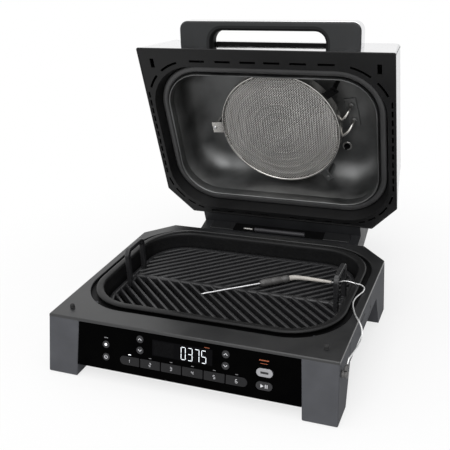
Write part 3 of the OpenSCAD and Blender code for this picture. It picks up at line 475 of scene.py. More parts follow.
dashes = [bar(u, DASH_V, 4.0, 0.9, *PRINT) for u in FUNCTION_U[1:]]
piece("unlit_dashes", together(*dashes, bar(-125.8, -22.8, 6.4, 1.3, *PRINT)), on_panel, print_grey_painted_glow, "base")
amber_bars = [bar(u, v, length, width, *PRINT) for u, v, length, width in
              ((120.7, -15.7, 14, 1.4), (120.8, -20.4, 10.5, 0.7), (36.0, -11.6, 8, 0.9))]
piece("amber_marks", together(*amber_bars), on_panel, print_amber_painted_glow, "base")

# The keys: satin caps of dark plastic that stand a little proud of the sheet, each on its own stem. Round
# ones at the sides, six in a row below, and two ovals at the right, of which the upper one is silvered.
KEY_FOOT, KEY_PROUD, KEY_EDGE = -6.2, 0.6, 0.45
ROUND_R = 5.6
MODE_W, MODE_H, MODE_R = 31.8, 13.5, 0.9
OVAL_U, OVAL_W, OVAL_H, OVAL_R = 122, 24, 12.2, 6.09
ROWS = [-z / math.cos(PANEL_TILT) for z in (16, 32.8, 52)]
key_grey = moulded("key_grey", (0.008, 0.008, 0.009), 0.34, 0.4, 0.01, specular=0.22)
round_grey = moulded("round_grey", (0.022, 0.022, 0.024), 0.34, 0.4, 0.01, specular=0.3)
key_silver = moulded("key_silver", (0.36, 0.36, 0.375), 0.3, 0.3, 0.006, metal=0.75)
# Printed key legends, with a painted glow.
key_mark_painted_glow = lit("key_mark_painted_glow", (0.5, 0.5, 0.52), 0.35)
bright_mark_painted_glow = lit("bright_mark_painted_glow", (0.85, 0.86, 0.88), 0.7)
dark_mark = moulded("dark_mark", (0.01, 0.01, 0.011), 0.3)
CORNERS = ((-90, 1, -1), (0, 1, 1), (90, -1, 1), (180, -1, -1))


def rounded(width, depth, radius, middle=(0, 0), steps=10):
    """Outline of a rectangle with round corners, counter-clockwise from the front right corner."""
    points = []
    for start, sx, sy in CORNERS:
        for k in range(steps + 1):
            a = math.radians(start + 90 * k / steps)
            points.append((middle[0] + sx * (width / 2 - radius) + radius * math.cos(a),
                           middle[1] + sy * (depth / 2 - radius) + radius * math.sin(a)))
    return points


def cap(outline, low, high, edge, steps=4):
    """Upright cap whose top edge is rounded; outline(inset) gives its shape."""
    rings = [[(u, v, low) for u, v in outline(0)]]
    for k in range(steps + 1):
        a = math.pi / 2 * k / steps
        height = high - edge + edge * math.sin(a)
        rings.append([(u, v, height) for u, v in outline(edge * (1 - math.cos(a)))])
    return loft(rings)


def arc(u, v, radius, start, end, steps):
    """Points along a part of a circle, from one angle in degrees to another."""
    turns = [math.radians(start + (end - start) * k / steps) for k in range(steps + 1)]
    return [(u + radius * math.cos(a), v + radius * math.sin(a)) for a in turns]


def half_round(left, right, middle, steps=8):
    """Outline of a key in the row, with the chosen ends round and the others only eased."""
    def outline(inset):
        points = []
        w, d = MODE_W / 2 - inset, MODE_H / 2 - inset
        for start, sx, sy in CORNERS:
            full = right if sx > 0 else left
            r = d - 0.01 if full else max(MODE_R - inset, 0.2)
            for k in range(steps + 1):
                a = math.radians(start + 90 * k / steps)
                points.append((middle[0] + sx * (w - r) + r * math.cos(a),
                               middle[1] + sy * (d - r) + r * math.sin(a)))
        return points
    return outline


def key(node, outline, finish, marks, mark_finish):
    """A key on its own body, with the mark printed on its cap."""
    body = node + "_body"
    shape = cap(outline, KEY_FOOT, KEY_PROUD, KEY_EDGE)
    piece("cap_" + node, shape, on_panel, finish, body, [node])
    piece("mark_" + node, marks, on_panel, mark_finish, body)


MARK = (KEY_PROUD + 0.01, KEY_PROUD + 0.07)
ROUND_PLACES = {"key_clock": (-126, ROWS[1]), "key_power": (-126, ROWS[2]), "key_left_up": (-69.5, ROWS[0]),
                "key_left_down": (-69.5, ROWS[1]), "key_right_up": (64.5, ROWS[0]),
                "key_right_down": (64.5, ROWS[1])}
for name, (u, v) in ROUND_PLACES.items():
    tip = 1.3 if name.endswith("up") else -1.3
    sign = stroke([(u - 2.6, v - tip), (u, v + tip), (u + 2.6, v - tip)], 0.95, *MARK)
    if name == "key_power":
        sign = together(stroke(arc(u, v, 2.5, 125, 415, 20), 0.75, *MARK),
                        stroke([(u, v + 0.6), (u, v + 3.2)], 0.75, *MARK))
    if name == "key_clock":
        sign = revolve([(0.001, 0), (2.1, 0), (2.1, 0.06), (0.001, 0.06)], 24, (u, v, MARK[0]))
    key(name, lambda inset: [(u + (ROUND_R - inset) * c, v + (ROUND_R - inset) * s) for c, s in circle(40)],
        round_grey, sign, bright_mark_painted_glow if name == "key_clock" else key_mark_painted_glow)
for i, u in enumerate(FUNCTION_U):
    key("key_mode_%d" % (i + 1), half_round(i == 0, i == 5, (u, ROWS[2])), key_grey,
        numeral(str(i + 1), u - 1.5 - (1.5 if i == 0 else 0), ROWS[2] - 2.6, 3, 5.2, 0.7, *MARK), key_mark_painted_glow)


def oval(v):
    """Outline of an oval key at that height of the panel."""
    return lambda inset: rounded(OVAL_W - 2 * inset, OVAL_H - 2 * inset, OVAL_R - inset, (OVAL_U, v))


key("key_set", oval(ROWS[1]), key_silver, bar(OVAL_U, ROWS[1], 11.5, 3.2, *MARK), dark_mark)
u, v = OVAL_U, ROWS[2]
play_pause = together(([(u - 5, v - 2.6, MARK[0]), (u - 5, v + 2.6, MARK[0]), (u - 0.6, v, MARK[0]),
                        (u - 5, v - 2.6, MARK[1]), (u - 5, v + 2.6, MARK[1]), (u - 0.6, v, MARK[1])],
                       [(0, 1, 2), (3, 5, 4), (0, 3, 4, 1), (1, 4, 5, 2), (2, 5, 3, 0)]),
                      stroke([(u + 2, v - 2.6), (u + 2, v + 2.6)], 1.1, *MARK),
                      stroke([(u + 4.6, v - 2.6), (u + 4.6, v + 2.6)], 1.1, *MARK))
key("key_start", oval(ROWS[2]), round_grey, play_pause, key_mark_painted_glow)

# The pot: a deep drawn aluminium pan with a rolled rim, coated inside and out with dark speckled
# non-stick. It stands in the well on the liner's pads and lifts straight out.
POT_Y = 194
POT_SIZE = (410, 296, 84)
pot_coat = new_finish("pot_coat", (0.008, 0.008, 0.0085), 0.36, specular=0.2)
fleck = grain(pot_coat, 1.1, detail=0)
tint(pot_coat, fleck, (0.006, 0.006, 0.0063), (0.013, 0.013, 0.0135), 0.45, 0.72)
polish(pot_coat, grain(pot_coat, 30), 0.30, 0.42)
relief(pot_coat, grain(pot_coat, 0.9), 0.03)


def hoops(size, middle_y, section, lift=0):
    """Rounded rectangles of width, depth and radius, one for each (inset, height) of the section."""
    width, depth, radius = size
    outlines = [rounded(width - 2 * i, depth - 2 * i, radius - i, (0, middle_y), 14) for i, z in section]
    return [[(x, y, lift + z) for x, y in outline] for outline, (i, z) in zip(outlines, section)]


pot_section = [(35, 40), (22, 40.3), (15, 43.2), (11.8, 49), (11, 57), (11, 91.8), (10.2, 92.9), (8.5, 93.2),
               (2.2, 92.9), (1.4, 92.2), (0.5, 92.3), (0, 93.1), (0.05, 94.0), (0.6, 94.9), (1.7, 95.5),
               (3.4, 95.78), (6, 95.8), (9, 95.7), (10.9, 95.2), (12.3, 94.2), (13, 92.4), (13.05, 88),
               (13.1, 58), (14, 52), (16.4, 47.4), (20.4, 44.2), (26, 42.7), (35, 42.5)]
pot_pan = loft(hoops(POT_SIZE, POT_Y, pot_section))
piece("pot_pan", pot_pan, on_base, pot_coat, "pot", ["cooking_pot"], 50)

# The grate: a cast plate with a round-edged frame, a bar across the middle and slanting ribs that meet
# at it like a herringbone. Two flat loops stand up at the ends to lift it by. Same dark coating.
GRATE_TOP = 70
GRATE_SIZE = GRATE_W, GRATE_D, GRATE_R = 376, 262, 67
RIB_W, RIB_PITCH, RIB_DEG, RIB_LOW = 5.5, 20, 42, 59
RIB_LONGEST, RIB_SHORTEST = 260, 12
UNDER_FRAME = 5
grate_coat = new_finish("grate_coat", (0.022, 0.022, 0.024), 0.3)
tint(grate_coat, grain(grate_coat, 1.2, detail=0), (0.014, 0.014, 0.015), (0.026, 0.026, 0.028), 0.45, 0.75)
polish(grate_coat, grain(grate_coat, 18), 0.24, 0.4)
relief(grate_coat, grain(grate_coat, 0.8), 0.04)


def inside_frame(x, y, inset):
    """Whether a point of the plate lies inside the frame, that far in from its outer edge."""
    w, d, r = GRATE_W / 2 - inset, GRATE_D / 2 - inset, GRATE_R - inset
    dx, dy = max(abs(x) - (w - r), 0), max(abs(y) - (d - r), 0)
    return math.hypot(dx, dy) < r


def ridge(a, b, width, top):
    """A bar from a to b with a rounded back."""
    a, b = Vector(a), Vector(b)
    side = Vector((a.y - b.y, b.x - a.x)).normalized() * width / 2
    half = [(1, RIB_LOW), (1, top - 3.2), (0.93, top - 1.6), (0.72, top - 0.5), (0.4, top - 0.1)]
    section = half + [(-s, z) for s, z in reversed(half)]
    return loft([[(p.x + side.x * s, p.y + side.y * s + POT_Y, z) for s, z in section] for p in (a, b)])


ribs = []
slant = Vector((math.cos(math.radians(RIB_DEG)), math.sin(math.radians(RIB_DEG))))
for i in range(-20, 21):
    start = Vector((i * RIB_PITCH, 0))
    spans = [start + slant * s for s in range(RIB_LONGEST) if inside_frame(*(start + slant * s), UNDER_FRAME)]
    if len(spans) > RIB_SHORTEST:
        for flip in (1, -1):
            ends = [(p.x, p.y * flip) for p in (spans[0], spans[-1])]
            ribs.append(ridge(*ends, RIB_W, GRATE_TOP))
frame_section = [(9, 59), (9, 67.4), (8.4, 69.2), (6.8, 70), (2.4, 70), (0.8, 69.2), (0, 67.4), (0, 59)]
grate_frame = loft(hoops(GRATE_SIZE, POT_Y, frame_section), wrap=True)
middle_bar = ridge((-GRATE_W / 2 + 4, 0), (GRATE_W / 2 - 4, 0), 9, GRATE_TOP + 0.2)
foot_turn = [(0.001, 42.5), (4.4, 42.5), (5, 43.2), (5, 66), (0.001, 66)]
feet = [revolve(foot_turn, 20, (x, POT_Y + y, 0)) for x in (-140, 140) for y in (-119, 119)]
piece("grate_plate", together(grate_frame, middle_bar, *ribs, *feet), on_base, grate_coat, "grate",
      ["grill_grate"], 40)


def fillet(corners, radii, steps=6):
    """Outline through the corners with each one rounded to its radius."""
    points = []
    for i, (corner, radius) in enumerate(zip(corners, radii)):
        p = Vector(corner)
        a = (Vector(corners[i - 1]) - p).normalized()
        b = (Vector(corners[(i + 1) % len(corners)]) - p).normalized()
        half = a.angle(b) / 2
        centre = p + (a + b).normalized() * radius / math.sin(half)
        start, end = p + a * radius / math.tan(half) - centre, p + b * radius / math.tan(half) - centre
        sweep = start.angle(end)
        for k in range(steps + 1):
            t = k / steps
            share = start * math.sin((1 - t) * sweep) + end * math.sin(t * sweep)
            points.append(centre + share / math.sin(sweep))
    return points


LOOP_FOOT, LOOP_TOP = 60, 128
LOOP_Y = POT_Y + 2
LOOP_IN, LOOP_OUT = 174.5, 182


def arch(half, low, top, radius):
    """Outline of a loop with round upper corners."""
    return fillet([(-half, low), (half, low), (half, top), (-half, top)], [0.5, 0.5, radius, radius])


outer_loop = arch(30, LOOP_FOOT, LOOP_TOP, 12)
inner_loop = arch(22, GRATE_TOP - 2, LOOP_TOP - 7, 6)
loop_rings = [[(x, LOOP_Y + p.x, p.y) for p in line]
              for line, sides in ((outer_loop, (LOOP_IN, LOOP_OUT)), (inner_loop, (LOOP_OUT, LOOP_IN)))
              for x in sides]
loops = piece("lifting_loops", mirrored(loft(loop_rings, wrap=True)), on_base, grate_coat, "grate")
ease(loops, 1.2, 3)

# The lid shell: brushed steel sheet, its front wall in a brighter, glossier copy of the steel between two
# dark seams; the brighter copy is painted light.
# Everything on the lid is drawn closed and turned open about the hinge, as it stands at rest.
HINGE_Y, HINGE_Z, OPEN_DEG = 399.5, 42, 74.4
LID_Z = 99
LID_FRONT, LID_REAR, LID_HALF = 14.4, 365, 224.2
CORNER_X, CORNER_Y = 46, 51
SHELL_SHEET = 1.5
at_hinge = Matrix.Translation((0, HINGE_Y, HINGE_Z))
on_lid = on_base @ at_hinge @ Matrix.Rotation(math.radians(-OPEN_DEG), 4, "X") @ at_hinge.inverted()


def brushed(name, dull, bright, low, high):
    """Steel sheet with fine brush lines from side to side, in two tones and two degrees of polish."""
    finish = new_finish(name, bright, 0.3, 1.0)
    brush = grain(finish, 1.0, (0.02, 1.0, 1.0), 3.0)
    tint(finish, brush, dull, bright)
    polish(finish, brush, low, high)
    relief(finish, brush, 0.006)
    return finish


# Lit and shaded copies of one steel: the brighter one, on the front wall and the handle's skin, is painted
# light.
lid_silver = brushed("lid_silver", (0.70, 0.70, 0.71), (0.81, 0.81, 0.82), 0.06, 0.12)
painted_shaded_silver = brushed("painted_shaded_silver", (0.52, 0.525, 0.535), (0.64, 0.645, 0.655), 0.16, 0.26)


def lid_ring(z, front, side, rear, soft):
    """Outline of the lid at one height, with its six corners rounded."""
    h, near, far = LID_HALF - side, LID_FRONT + front, LID_REAR - rear
    corners = [(-h, near), (h, near), (h, far - CORNER_Y), (h - CORNER_X, far), (CORNER_X - h, far),
               (-h, far - CORNER_Y)]
    return [(p.x, p.y, LID_Z + z) for p in fillet(corners, [soft[0]] * 2 + [soft[1]] * 4)]


def eased_steps(stations, steps=4):
    """Stations along a curve, filled in smoothly between them."""
    filled = []
    for i in range(len(stations) - 1):
        p = [stations[max(i - 1, 0)], stations[i], stations[i + 1],
             stations[min(i + 2, len(stations) - 1)]]
        for k in range(steps):
            s = k / steps
            filled.append([0.5 * (2 * b + (c - a) * s + (2 * a - 5 * b + 4 * c - d) * s * s
                                  + (3 * b - a - 3 * c + d) * s ** 3) for a, b, c, d in zip(*p)])
    return filled + [list(stations[-1])]


# height, then how far the front, the sides and the rear lean in there, then front and rear corner radii
crown = eased_steps([(100, 33.4, 11.4, 7, 5, 18), (115, 38.4, 13.1, 8, 6, 20), (132, 47.4, 20.1, 13, 9, 22),
                     (144, 60.4, 31.1, 24, 13, 22), (149.4, 80.4, 51.1, 42, 18, 22),
                     (150, 104, 76, 66, 22, 22)])
skin = [(0, 0, 0, 0, 3, 4), (30, 10, 3.4, 2.1, 3.4, 8), (65, 21.7, 7.4, 4.5, 4, 12)] + crown
outside = [lid_ring(z, f, s, r, (a, b)) for z, f, s, r, a, b in skin]
inside = []
for z, f, s, r, a, b in reversed(skin):
    soft = [max(radius - SHELL_SHEET, 2.5) for radius in (a, b)]
    inside.append(lid_ring(z - SHELL_SHEET if z > 100 else z, *[i + SHELL_SHEET for i in (f, s, r)], soft))
lid_skin = piece("lid_skin", loft(inside + outside), on_lid, lid_silver, "lid", ["lid_shell"],
                 50)
lid_skin.data.materials.append(painted_shaded_silver)
from_lid = on_lid.inverted()
PAINTED_LIT_TOP = 124
FACING_FRONT = -0.8
# Painted light: front-facing faces below the crown keep the brighter copy, all others take the duller one.
for face in lid_skin.data.polygons:
    centre, facing = from_lid @ face.center, from_lid.to_3x3() @ face.normal
    if centre.z > LID_Z + PAINTED_LIT_TOP or facing.normalized().y > FACING_FRONT:
        face.material_index = 1
seam_black = moulded("seam_black", (0.02, 0.02, 0.021), 0.5)
SEAM_RINGS = 9
seam = []
for z, f, s, r, a, b in skin[:SEAM_RINGS]:
    x, y = LID_HALF - s + 0.15, LID_FRONT + f + a * 0.8
    seam.append([(x + dx, y + dy, LID_Z + z) for dx, dy in ((0, 0), (-0.8, 0), (-0.8, 1.5), (0, 1.5))])
piece("lid_seams", mirrored(loft(seam)), on_lid, seam_black, "lid")

# The rim frame: a black moulded plate that closes the gap between shell and cavity, with cooling slots
# all round. A grey bead seal and the turned lip of the cavity lie inside it.
frame_black = moulded("frame_black", (0.007, 0.007, 0.0073), 0.4, 0.6, 0.02, specular=0.22)
eased("rim_plate", "lid_frame", 0.5, frame_black)
hem = [(2.2, -0.2), (0, -0.3), (-0.4, 0), (-0.5, 0.5), (-0.5, 2.2), (0.2, 2.6)]
rim_hem = loft([lid_ring(z, i, i, i, (3, 4)) for z, i in hem], wrap=True)
piece("rim_hem", rim_hem, on_lid, frame_black, "lid")
CAV_Y = 199
CAV_SIZE = (378, 255, 65)
SEAL_SIZE = (409.6, 286.6, 80.8)
seal_grey = moulded("seal_grey", (0.048, 0.048, 0.049), 0.4, 0.8, 0.02)
bead = [(0.0, 22), (0.0, 20), (0.5, 18.7), (1.6, 17.8), (3.2, 17.3), (5.6, 17.1), (8.2, 17.3), (10.0, 18.1),
        (11.0, 19.3), (11.3, 21), (12.8, 22), (12.8, 23.2), (0.4, 23.2)]
seal_bead = loft(hoops(SEAL_SIZE, CAV_Y, bead, LID_Z), wrap=True)
piece("seal_bead", seal_bead, on_lid, seal_grey, "lid", ["lid_seal"], 60)

# The cavity: one pan of deep drawn steel, dull and slightly smeared, round where the walls run into the
# ceiling. Its mouth is turned out into a thin lip behind the seal.
cavity_metal = new_finish("cavity_metal", (0.2, 0.203, 0.203), 0.42, 1.0)
smear = grain(cavity_metal, 55, detail=4.0)
tint(cavity_metal, smear, (0.15, 0.153, 0.153), (0.245, 0.248, 0.248))
polish(cavity_metal, smear, 0.42, 0.56)
relief(cavity_metal, grain(cavity_metal, 2.0), 0.01)
CEILING = 108
CORNER = 40
PAN_SHEET = 1.1
lip = [(-2.0, 24), (-2.4, 22.4), (-2.4, 16.2), (-2.0, 14.8), (-1.2, 14.1), (-0.4, 14.1), (0.3, 14.7),
       (0.6, 15.8)]
wall = [(0.7, 30.5), (0.1, 31.6), (0.1, 32.8), (0.7, 33.8)]
for k in range(11):
    a = math.pi / 2 * k / 10
    wall.append((0.7 + CORNER * (1 - math.cos(a)), CEILING - CORNER + CORNER * math.sin(a)))
behind = [(i - PAN_SHEET, z + (PAN_SHEET if z > CEILING - 4 else 0.4)) for i, z in reversed(wall[3:])]
cavity_pan = loft(hoops(CAV_SIZE, CAV_Y, behind + lip + wall, LID_Z))
piece("cavity_pan", cavity_pan, on_lid, cavity_metal, "lid", ["lid_liner", "lid_ceiling"], 40)

# The fan guard: woven steel wire pressed into shallow rings, held in a bright rolled rim that hangs from
# the ceiling on three screwed tabs, in front of the fan and the heating coil.
FAN_Y = 202
MESH_R = 114
MESH_AT = 60
AT_CEILING = CEILING - MESH_AT
WEAVE = 3.3
WIRE_R = 0.78
mesh_steel = moulded("mesh_steel", (0.5, 0.488, 0.47), 0.38, 0.5, 0.01, metal=1.0)
rim_steel = moulded("rim_steel", (0.6, 0.585, 0.56), 0.26, 0.5, 0.005, metal=1.0)
on_fan = on_lid @ Matrix.Translation((0, FAN_Y, LID_Z + MESH_AT))
MESH_LIFT = 1.6
PRESSED_RINGS = (20, 36, 52, 68, 84, 99)
RING_DEPTH, RING_WIDTH = 1.3, 2.2


def pressed(r):
    """Height of the pressed wire at that radius: shallow rings on a slight dome."""
    rings = sum(-RING_DEPTH * math.exp(-((r - c) / RING_WIDTH) ** 2) for c in PRESSED_RINGS)
    return rings + 1.2 * (r / 110) ** 2


wires = []
MESH_EDGE = MESH_R - 3.5
lines = int(MESH_EDGE / WEAVE)
for way in (0, 1):
    for i in range(-lines, lines + 1):
        off = (i + 0.5) * WEAVE
        if abs(off) > MESH_EDGE - 2.5:
            continue
        reach = math.sqrt(MESH_EDGE ** 2 - off ** 2)
        count = int(reach / WEAVE)
        rings = []
        for k in range(-2 * count, 2 * count + 1):
            run = k * WEAVE / 2
            lift = WIRE_R * 0.9 * math.cos(math.pi * (run / WEAVE - 0.5 + i + way))
            z = MESH_LIFT + lift + pressed(math.hypot(run, off))
            a, b = (run, off) if way else (off, run)
            x, y = (a - b) * math.sqrt(0.5), (a + b) * math.sqrt(0.5)
            across = Vector((-1 if way else 1, 1, 0)).normalized() * WIRE_R
            rings.append([(x + across.x, y + across.y, z), (x, y, z + WIRE_R * 0.8),
                          (x - across.x, y - across.y, z), (x, y, z - WIRE_R * 0.8)])
        if len(rings) > 2:
            wires.append(loft(rings))
piece("guard_mesh", together(*wires), on_fan, mesh_steel, "lid", ["mesh_cover"], 80)
ROLL_R = 2.2
rolled = [(MESH_R - ROLL_R + ROLL_R * math.cos(a), ROLL_R + ROLL_R * math.sin(a))
          for a in [math.radians(d) for d in range(0, -271, -30)]]
rim_section = rolled + [(MESH_R - 1.3, 4.0), (MESH_R - 1.3, 21), (MESH_R, 21)]
guard_rim = loft([[(r * c, r * s, z) for c, s in circle(96)] for r, z in rim_section], wrap=True)
piece("guard_rim", guard_rim, on_fan, rim_steel, "lid")


def block(x0, x1, y0, y1, z0, z1):
    """A plain block between those limits."""
    return loft([[(x0, y0, z), (x1, y0, z), (x1, y1, z), (x0, y1, z)] for z in (z0, z1)])


def turned(shape, degrees):
    """The shape turned about the fan axis."""
    c, s = math.cos(math.radians(degrees)), math.sin(math.radians(degrees))
    return [(x * c - y * s, x * s + y * c, z) for x, y, z in shape[0]], shape[1]


LEFT_TURN, UPPER_TURN, LOWER_TURN = 177, 322, 50
SCREW_AT = (MESH_R + 18, 0, 0)
tab = block(MESH_R - 0.4, MESH_R + 25, -7, 7, 6, 7.6)
wide_tab = block(MESH_R - 0.4, MESH_R + 23, -11, 11, 6, 7.6)
post = revolve([(0.001, 7.2), (4, 7.2), (4, AT_CEILING), (0.001, AT_CEILING)], 24, SCREW_AT)
screw = revolve([(0.001, 3.6), (2.6, 3.6), (3.4, 4.3), (3.6, 6.1), (0.001, 6.1)], 20, SCREW_AT)
left_tab = turned(together(wide_tab, post), LEFT_TURN)
tabs = piece("guard_tabs", left_tab, on_fan, rim_steel, "lid", ["mesh_brackets"])
ease(tabs, 0.4, 2)
for name, degrees, finish in (("upper_clip", UPPER_TURN, liner_coat),
                              ("lower_clip", LOWER_TURN, cavity_metal)):
    clip = piece(name, turned(together(tab, post, screw), degrees), on_fan, finish, "lid")
    ease(clip, 0.3, 2)
piece("tab_screw", turned(screw, LEFT_TURN), on_fan, bright_steel, "lid")


# The heating coil: two turns of dark sheathed tube behind the guard, with two bent bright leads into a steel
# terminal plate on the ceiling. The air sensor is screwed in beside it, and the fan turns in its middle.
def tube(path, radii, sides=12):
    """Round tube along a path, with a radius at each point."""
    path = [Vector(p) for p in path]
    rings, side = [], None
    for i, p in enumerate(path):
        ahead = (path[min(i + 1, len(path) - 1)] - path[max(i - 1, 0)]).normalized()
        side = side - ahead * side.dot(ahead) if side else ahead.orthogonal()
        side.normalize()
        other = ahead.cross(side)
        rings.append([p + radii[i] * (side * c + other * s) for c, s in circle(sides)])
    return loft(rings)


COIL_Z, COIL_TUBE_R = 26, 3.4
COIL_R, COIL_STEP = MESH_R - 10, 12
LEAD_R = 3.06
TERMINAL_TURN = -8.05


def coil_turn(radius):
    """One closed turn of the coil's tube about the fan axis."""
    section = [(radius + COIL_TUBE_R * c, COIL_Z + COIL_TUBE_R * s) for c, s in circle(12)]
    return loft([[(r * c, r * s, h) for r, h in section] for c, s in circle(96)], wrap=True)


coil = together(coil_turn(COIL_R), coil_turn(COIL_R - COIL_STEP))
piece("coil_tube", coil, on_fan, coil_steel, "lid", ["heater_coil"], 60)
lead_routes = [[(94, -8, 26), (104, -11, 25.2), (113, -15, 24.8), (119, -21, 25.8), (123, -27, 29.2),
                (125.2, -31.4, 36), (125.7, -33, AT_CEILING - 1)],
               [(94, 22, 26), (104, 21, 25.2), (113, 18, 24.8), (121, 12, 25.8), (126.5, 5, 29.2),
                (129.3, -1, 36), (130, -3, AT_CEILING - 1)]]
leads, lead_cups = [], []
cup_turn = [(0.001, 42), (4.2, 42), (5.2, 42.6), (5.4, 46), (0.001, 46)]
for route in lead_routes:
    line = eased_steps(route)
    leads.append(tube(line, [LEAD_R] * len(line)))
    lead_cups.append(revolve(cup_turn, 24, (*route[-1][:2], 0)))
piece("coil_leads", together(*leads), on_fan, rim_steel, "lid", sharp=60)
plate = turned(block(MESH_R + 3, MESH_R + 25, -28, 28, 45, AT_CEILING), TERMINAL_TURN)
terminal = piece("coil_terminal", together(plate, *lead_cups), on_fan, cavity_metal, "lid",
                 ["heater_terminal"])
ease(terminal, 0.6, 2)
sensor = [(0.001, 36), (1.4, 36.2), (2.3, 37), (2.5, 38), (2.5, 44.6), (5.6, 45), (6, 45.6), (6, 47.8),
          (0.001, 47.8)]
SENSOR_AT = (113.5, 56.5, 0)
piece("sensor_boss", revolve(sensor, 28, SENSOR_AT), on_fan, liner_coat, "lid", ["air_sensor"])
plate_turn = [(0.001, 46.6), (8.6, 46.6), (9.1, 47), (9.1, 47.8), (0.001, 47.8)]
piece("sensor_plate", revolve(plate_turn, 32, SENSOR_AT), on_fan, mesh_steel, "lid")
blade_metal = moulded("blade_metal", (0.10, 0.10, 0.10), 0.5, 0.8, 0.01, metal=1.0)
motor_grey = moulded("motor_grey", (0.12, 0.12, 0.125), 0.45, 1.0, 0.02)
dress(blade_metal, "fan_blade", "cooling_blade", "fan_shaft")
dress(motor_grey, "fan_motor", "motor_bracket")

# The handle: a wide dark moulding screwed to the front wall, with a scooped finger opening, and a bright
# steel skin wrapped round its outside. The scoop's faces are painted dark as shade, and a near-black band
# on the wall inside the opening is a painted reflection of the grip. The frame of the wall has z up the
# wall and -y out of it.
WALL_SLOPE = 0.334
HANDLE_AT, HANDLE_H = 46, 28
HANDLE_HALF, HANDLE_REACH, HANDLE_R = 160, 41, 14
OPENING_HALF, OPENING_REACH, OPENING_R = 101, 25.5, 19
HANDLE_FOOT = 2
on_wall = (on_lid @ Matrix.Translation((0, LID_FRONT, LID_Z))
           @ Matrix.Rotation(-math.atan(WALL_SLOPE), 4, "X"))
handle_grey = moulded("handle_grey", (0.014, 0.015, 0.016), 0.44, 0.8, 0.03, specular=0.32)
# Two darker copies of the handle's plastic, for painted shade in the finger opening.
painted_shade_grey = moulded("painted_shade_grey", (0.007, 0.0075, 0.008), 0.44, 0.8, 0.03, specular=0.2)
painted_shade_black = moulded("painted_shade_black", (0.0022, 0.0022, 0.0024), 0.5, 0.8, 0.03, specular=0.08)
eased("handle_cover", "handle_skin", 0.5, lid_silver)
GRIP_SCOOP = 9
OUTER_EDGE = 2.4


def bend(a, corner, b, radius):
    """The rounded corner between two neighbours, without the neighbours."""
    return fillet([a, corner, b], [0.1, radius, 0.1], 8)[9:18]


def bow_corners(half, reach):
    """Corners of a bow that stands out from the wall: left foot, left, right and right foot."""
    return [Vector(p) for p in ((-half, HANDLE_FOOT), (-half, -reach), (half, -reach), (half, HANDLE_FOOT))]


wall_l, outer_l, outer_r, wall_r = bow_corners(HANDLE_HALF, HANDLE_REACH)
foot_l, inner_l, inner_r, foot_r = bow_corners(OPENING_HALF, OPENING_REACH)
outer_bow = bend(wall_l, outer_l, outer_r, HANDLE_R) + bend(outer_l, outer_r, wall_r, HANDLE_R)
inner_bow = bend(foot_r, inner_r, inner_l, OPENING_R) + bend(inner_r, inner_l, foot_l, OPENING_R)
handle_line = [(wall_l, Vector((1, 0)), OUTER_EDGE)]
for arc_points, edge in ((outer_bow, OUTER_EDGE), ([wall_r], OUTER_EDGE), ([foot_r], GRIP_SCOOP),
                         (inner_bow, GRIP_SCOOP), ([foot_l], GRIP_SCOOP)):
    for i, p in enumerate(arc_points):
        if len(arc_points) == 1:
            inward = Vector((-1 if p in (wall_r, foot_l) else 1, 0))
        else:
            step = arc_points[min(i + 1, len(arc_points) - 1)] - arc_points[max(i - 1, 0)]
            inward = Vector((-step.y, step.x)).normalized()
        handle_line.append((p, inward, edge))
handle_rings = []
for z0, toward, steps, share in ((HANDLE_AT, 1, 6, 1.0), (HANDLE_AT + HANDLE_H, -1, 4, 0.6)):
    rings = []
    for k in range(steps + 1):
        a = math.pi / 2 * k / steps
        cut_in, cut_up = share * (1 - math.sin(a)), toward * share * (1 - math.cos(a))
        rings.append([(p.x + n.x * e * cut_in, p.y + n.y * e * cut_in, z0 + e * cut_up)
                      for p, n, e in handle_line])
    handle_rings += rings if toward > 0 else rings[::-1]
grip = piece("handle_grip", loft(handle_rings), on_wall, handle_grey, "lid", ["handle_core"],
             45)
grip.data.materials.append(painted_shade_grey)
grip.data.materials.append(painted_shade_black)
to_wall = on_wall.inverted()
# Painted shade: scooped faces in the opening take the near-black finish, those along its lowest edge the dark
# grey one.
for face in grip.data.polygons:
    x, y, z = to_wall @ face.center
    in_opening = abs(x) < OPENING_HALF + GRIP_SCOOP and y > -OPENING_REACH - GRIP_SCOOP
    if len(face.vertices) == 4 and in_opening and z < HANDLE_AT + HANDLE_H - 6:
        face.material_index = 1 if z < HANDLE_AT + 0.9 else 2
# A near-black block on the wall inside the opening: a painted reflection of the grip in the steel.
reflection_block = block(-OPENING_HALF, OPENING_HALF, -4.6, 1, HANDLE_AT + 22, HANDLE_AT + 27)
reflection_band = piece("handle_reflection_band", reflection_block, on_wall, painted_shade_black, "lid")
ease(reflection_band, 1.0, 2)

# The hinge housing: a dark moulded box behind the lid that turns on two steel pins in the base's ears.
# Between its raised knuckles a thin near-black plate stands for a cut-back face, painted shade of a
# recess, and a short bar with a coil spring lies across it.
hinge_dark = moulded("hinge_dark", (0.016, 0.0165, 0.018), 0.45, 0.8, 0.03, specular=0.3)
eased("hinge_box", "hinge_housing", 1.6, hinge_dark, 3)
bar_grey = moulded("bar_grey", (0.034, 0.033, 0.037), 0.5)
KNUCKLE_IN, KNUCKLE_OUT = 90, 139
FACE_Y, FACE_LOW, FACE_TOP = 387, 76.5, 99.2
sides = [block(a, b, FACE_Y - 2.6, FACE_Y, FACE_LOW, FACE_TOP)
         for a, b in ((-KNUCKLE_OUT, -KNUCKLE_IN), (KNUCKLE_IN, KNUCKLE_OUT))]
knuckles = piece("hinge_knuckles", together(*sides), on_lid, deck_grey, "lid")
ease(knuckles, 0.8, 3)
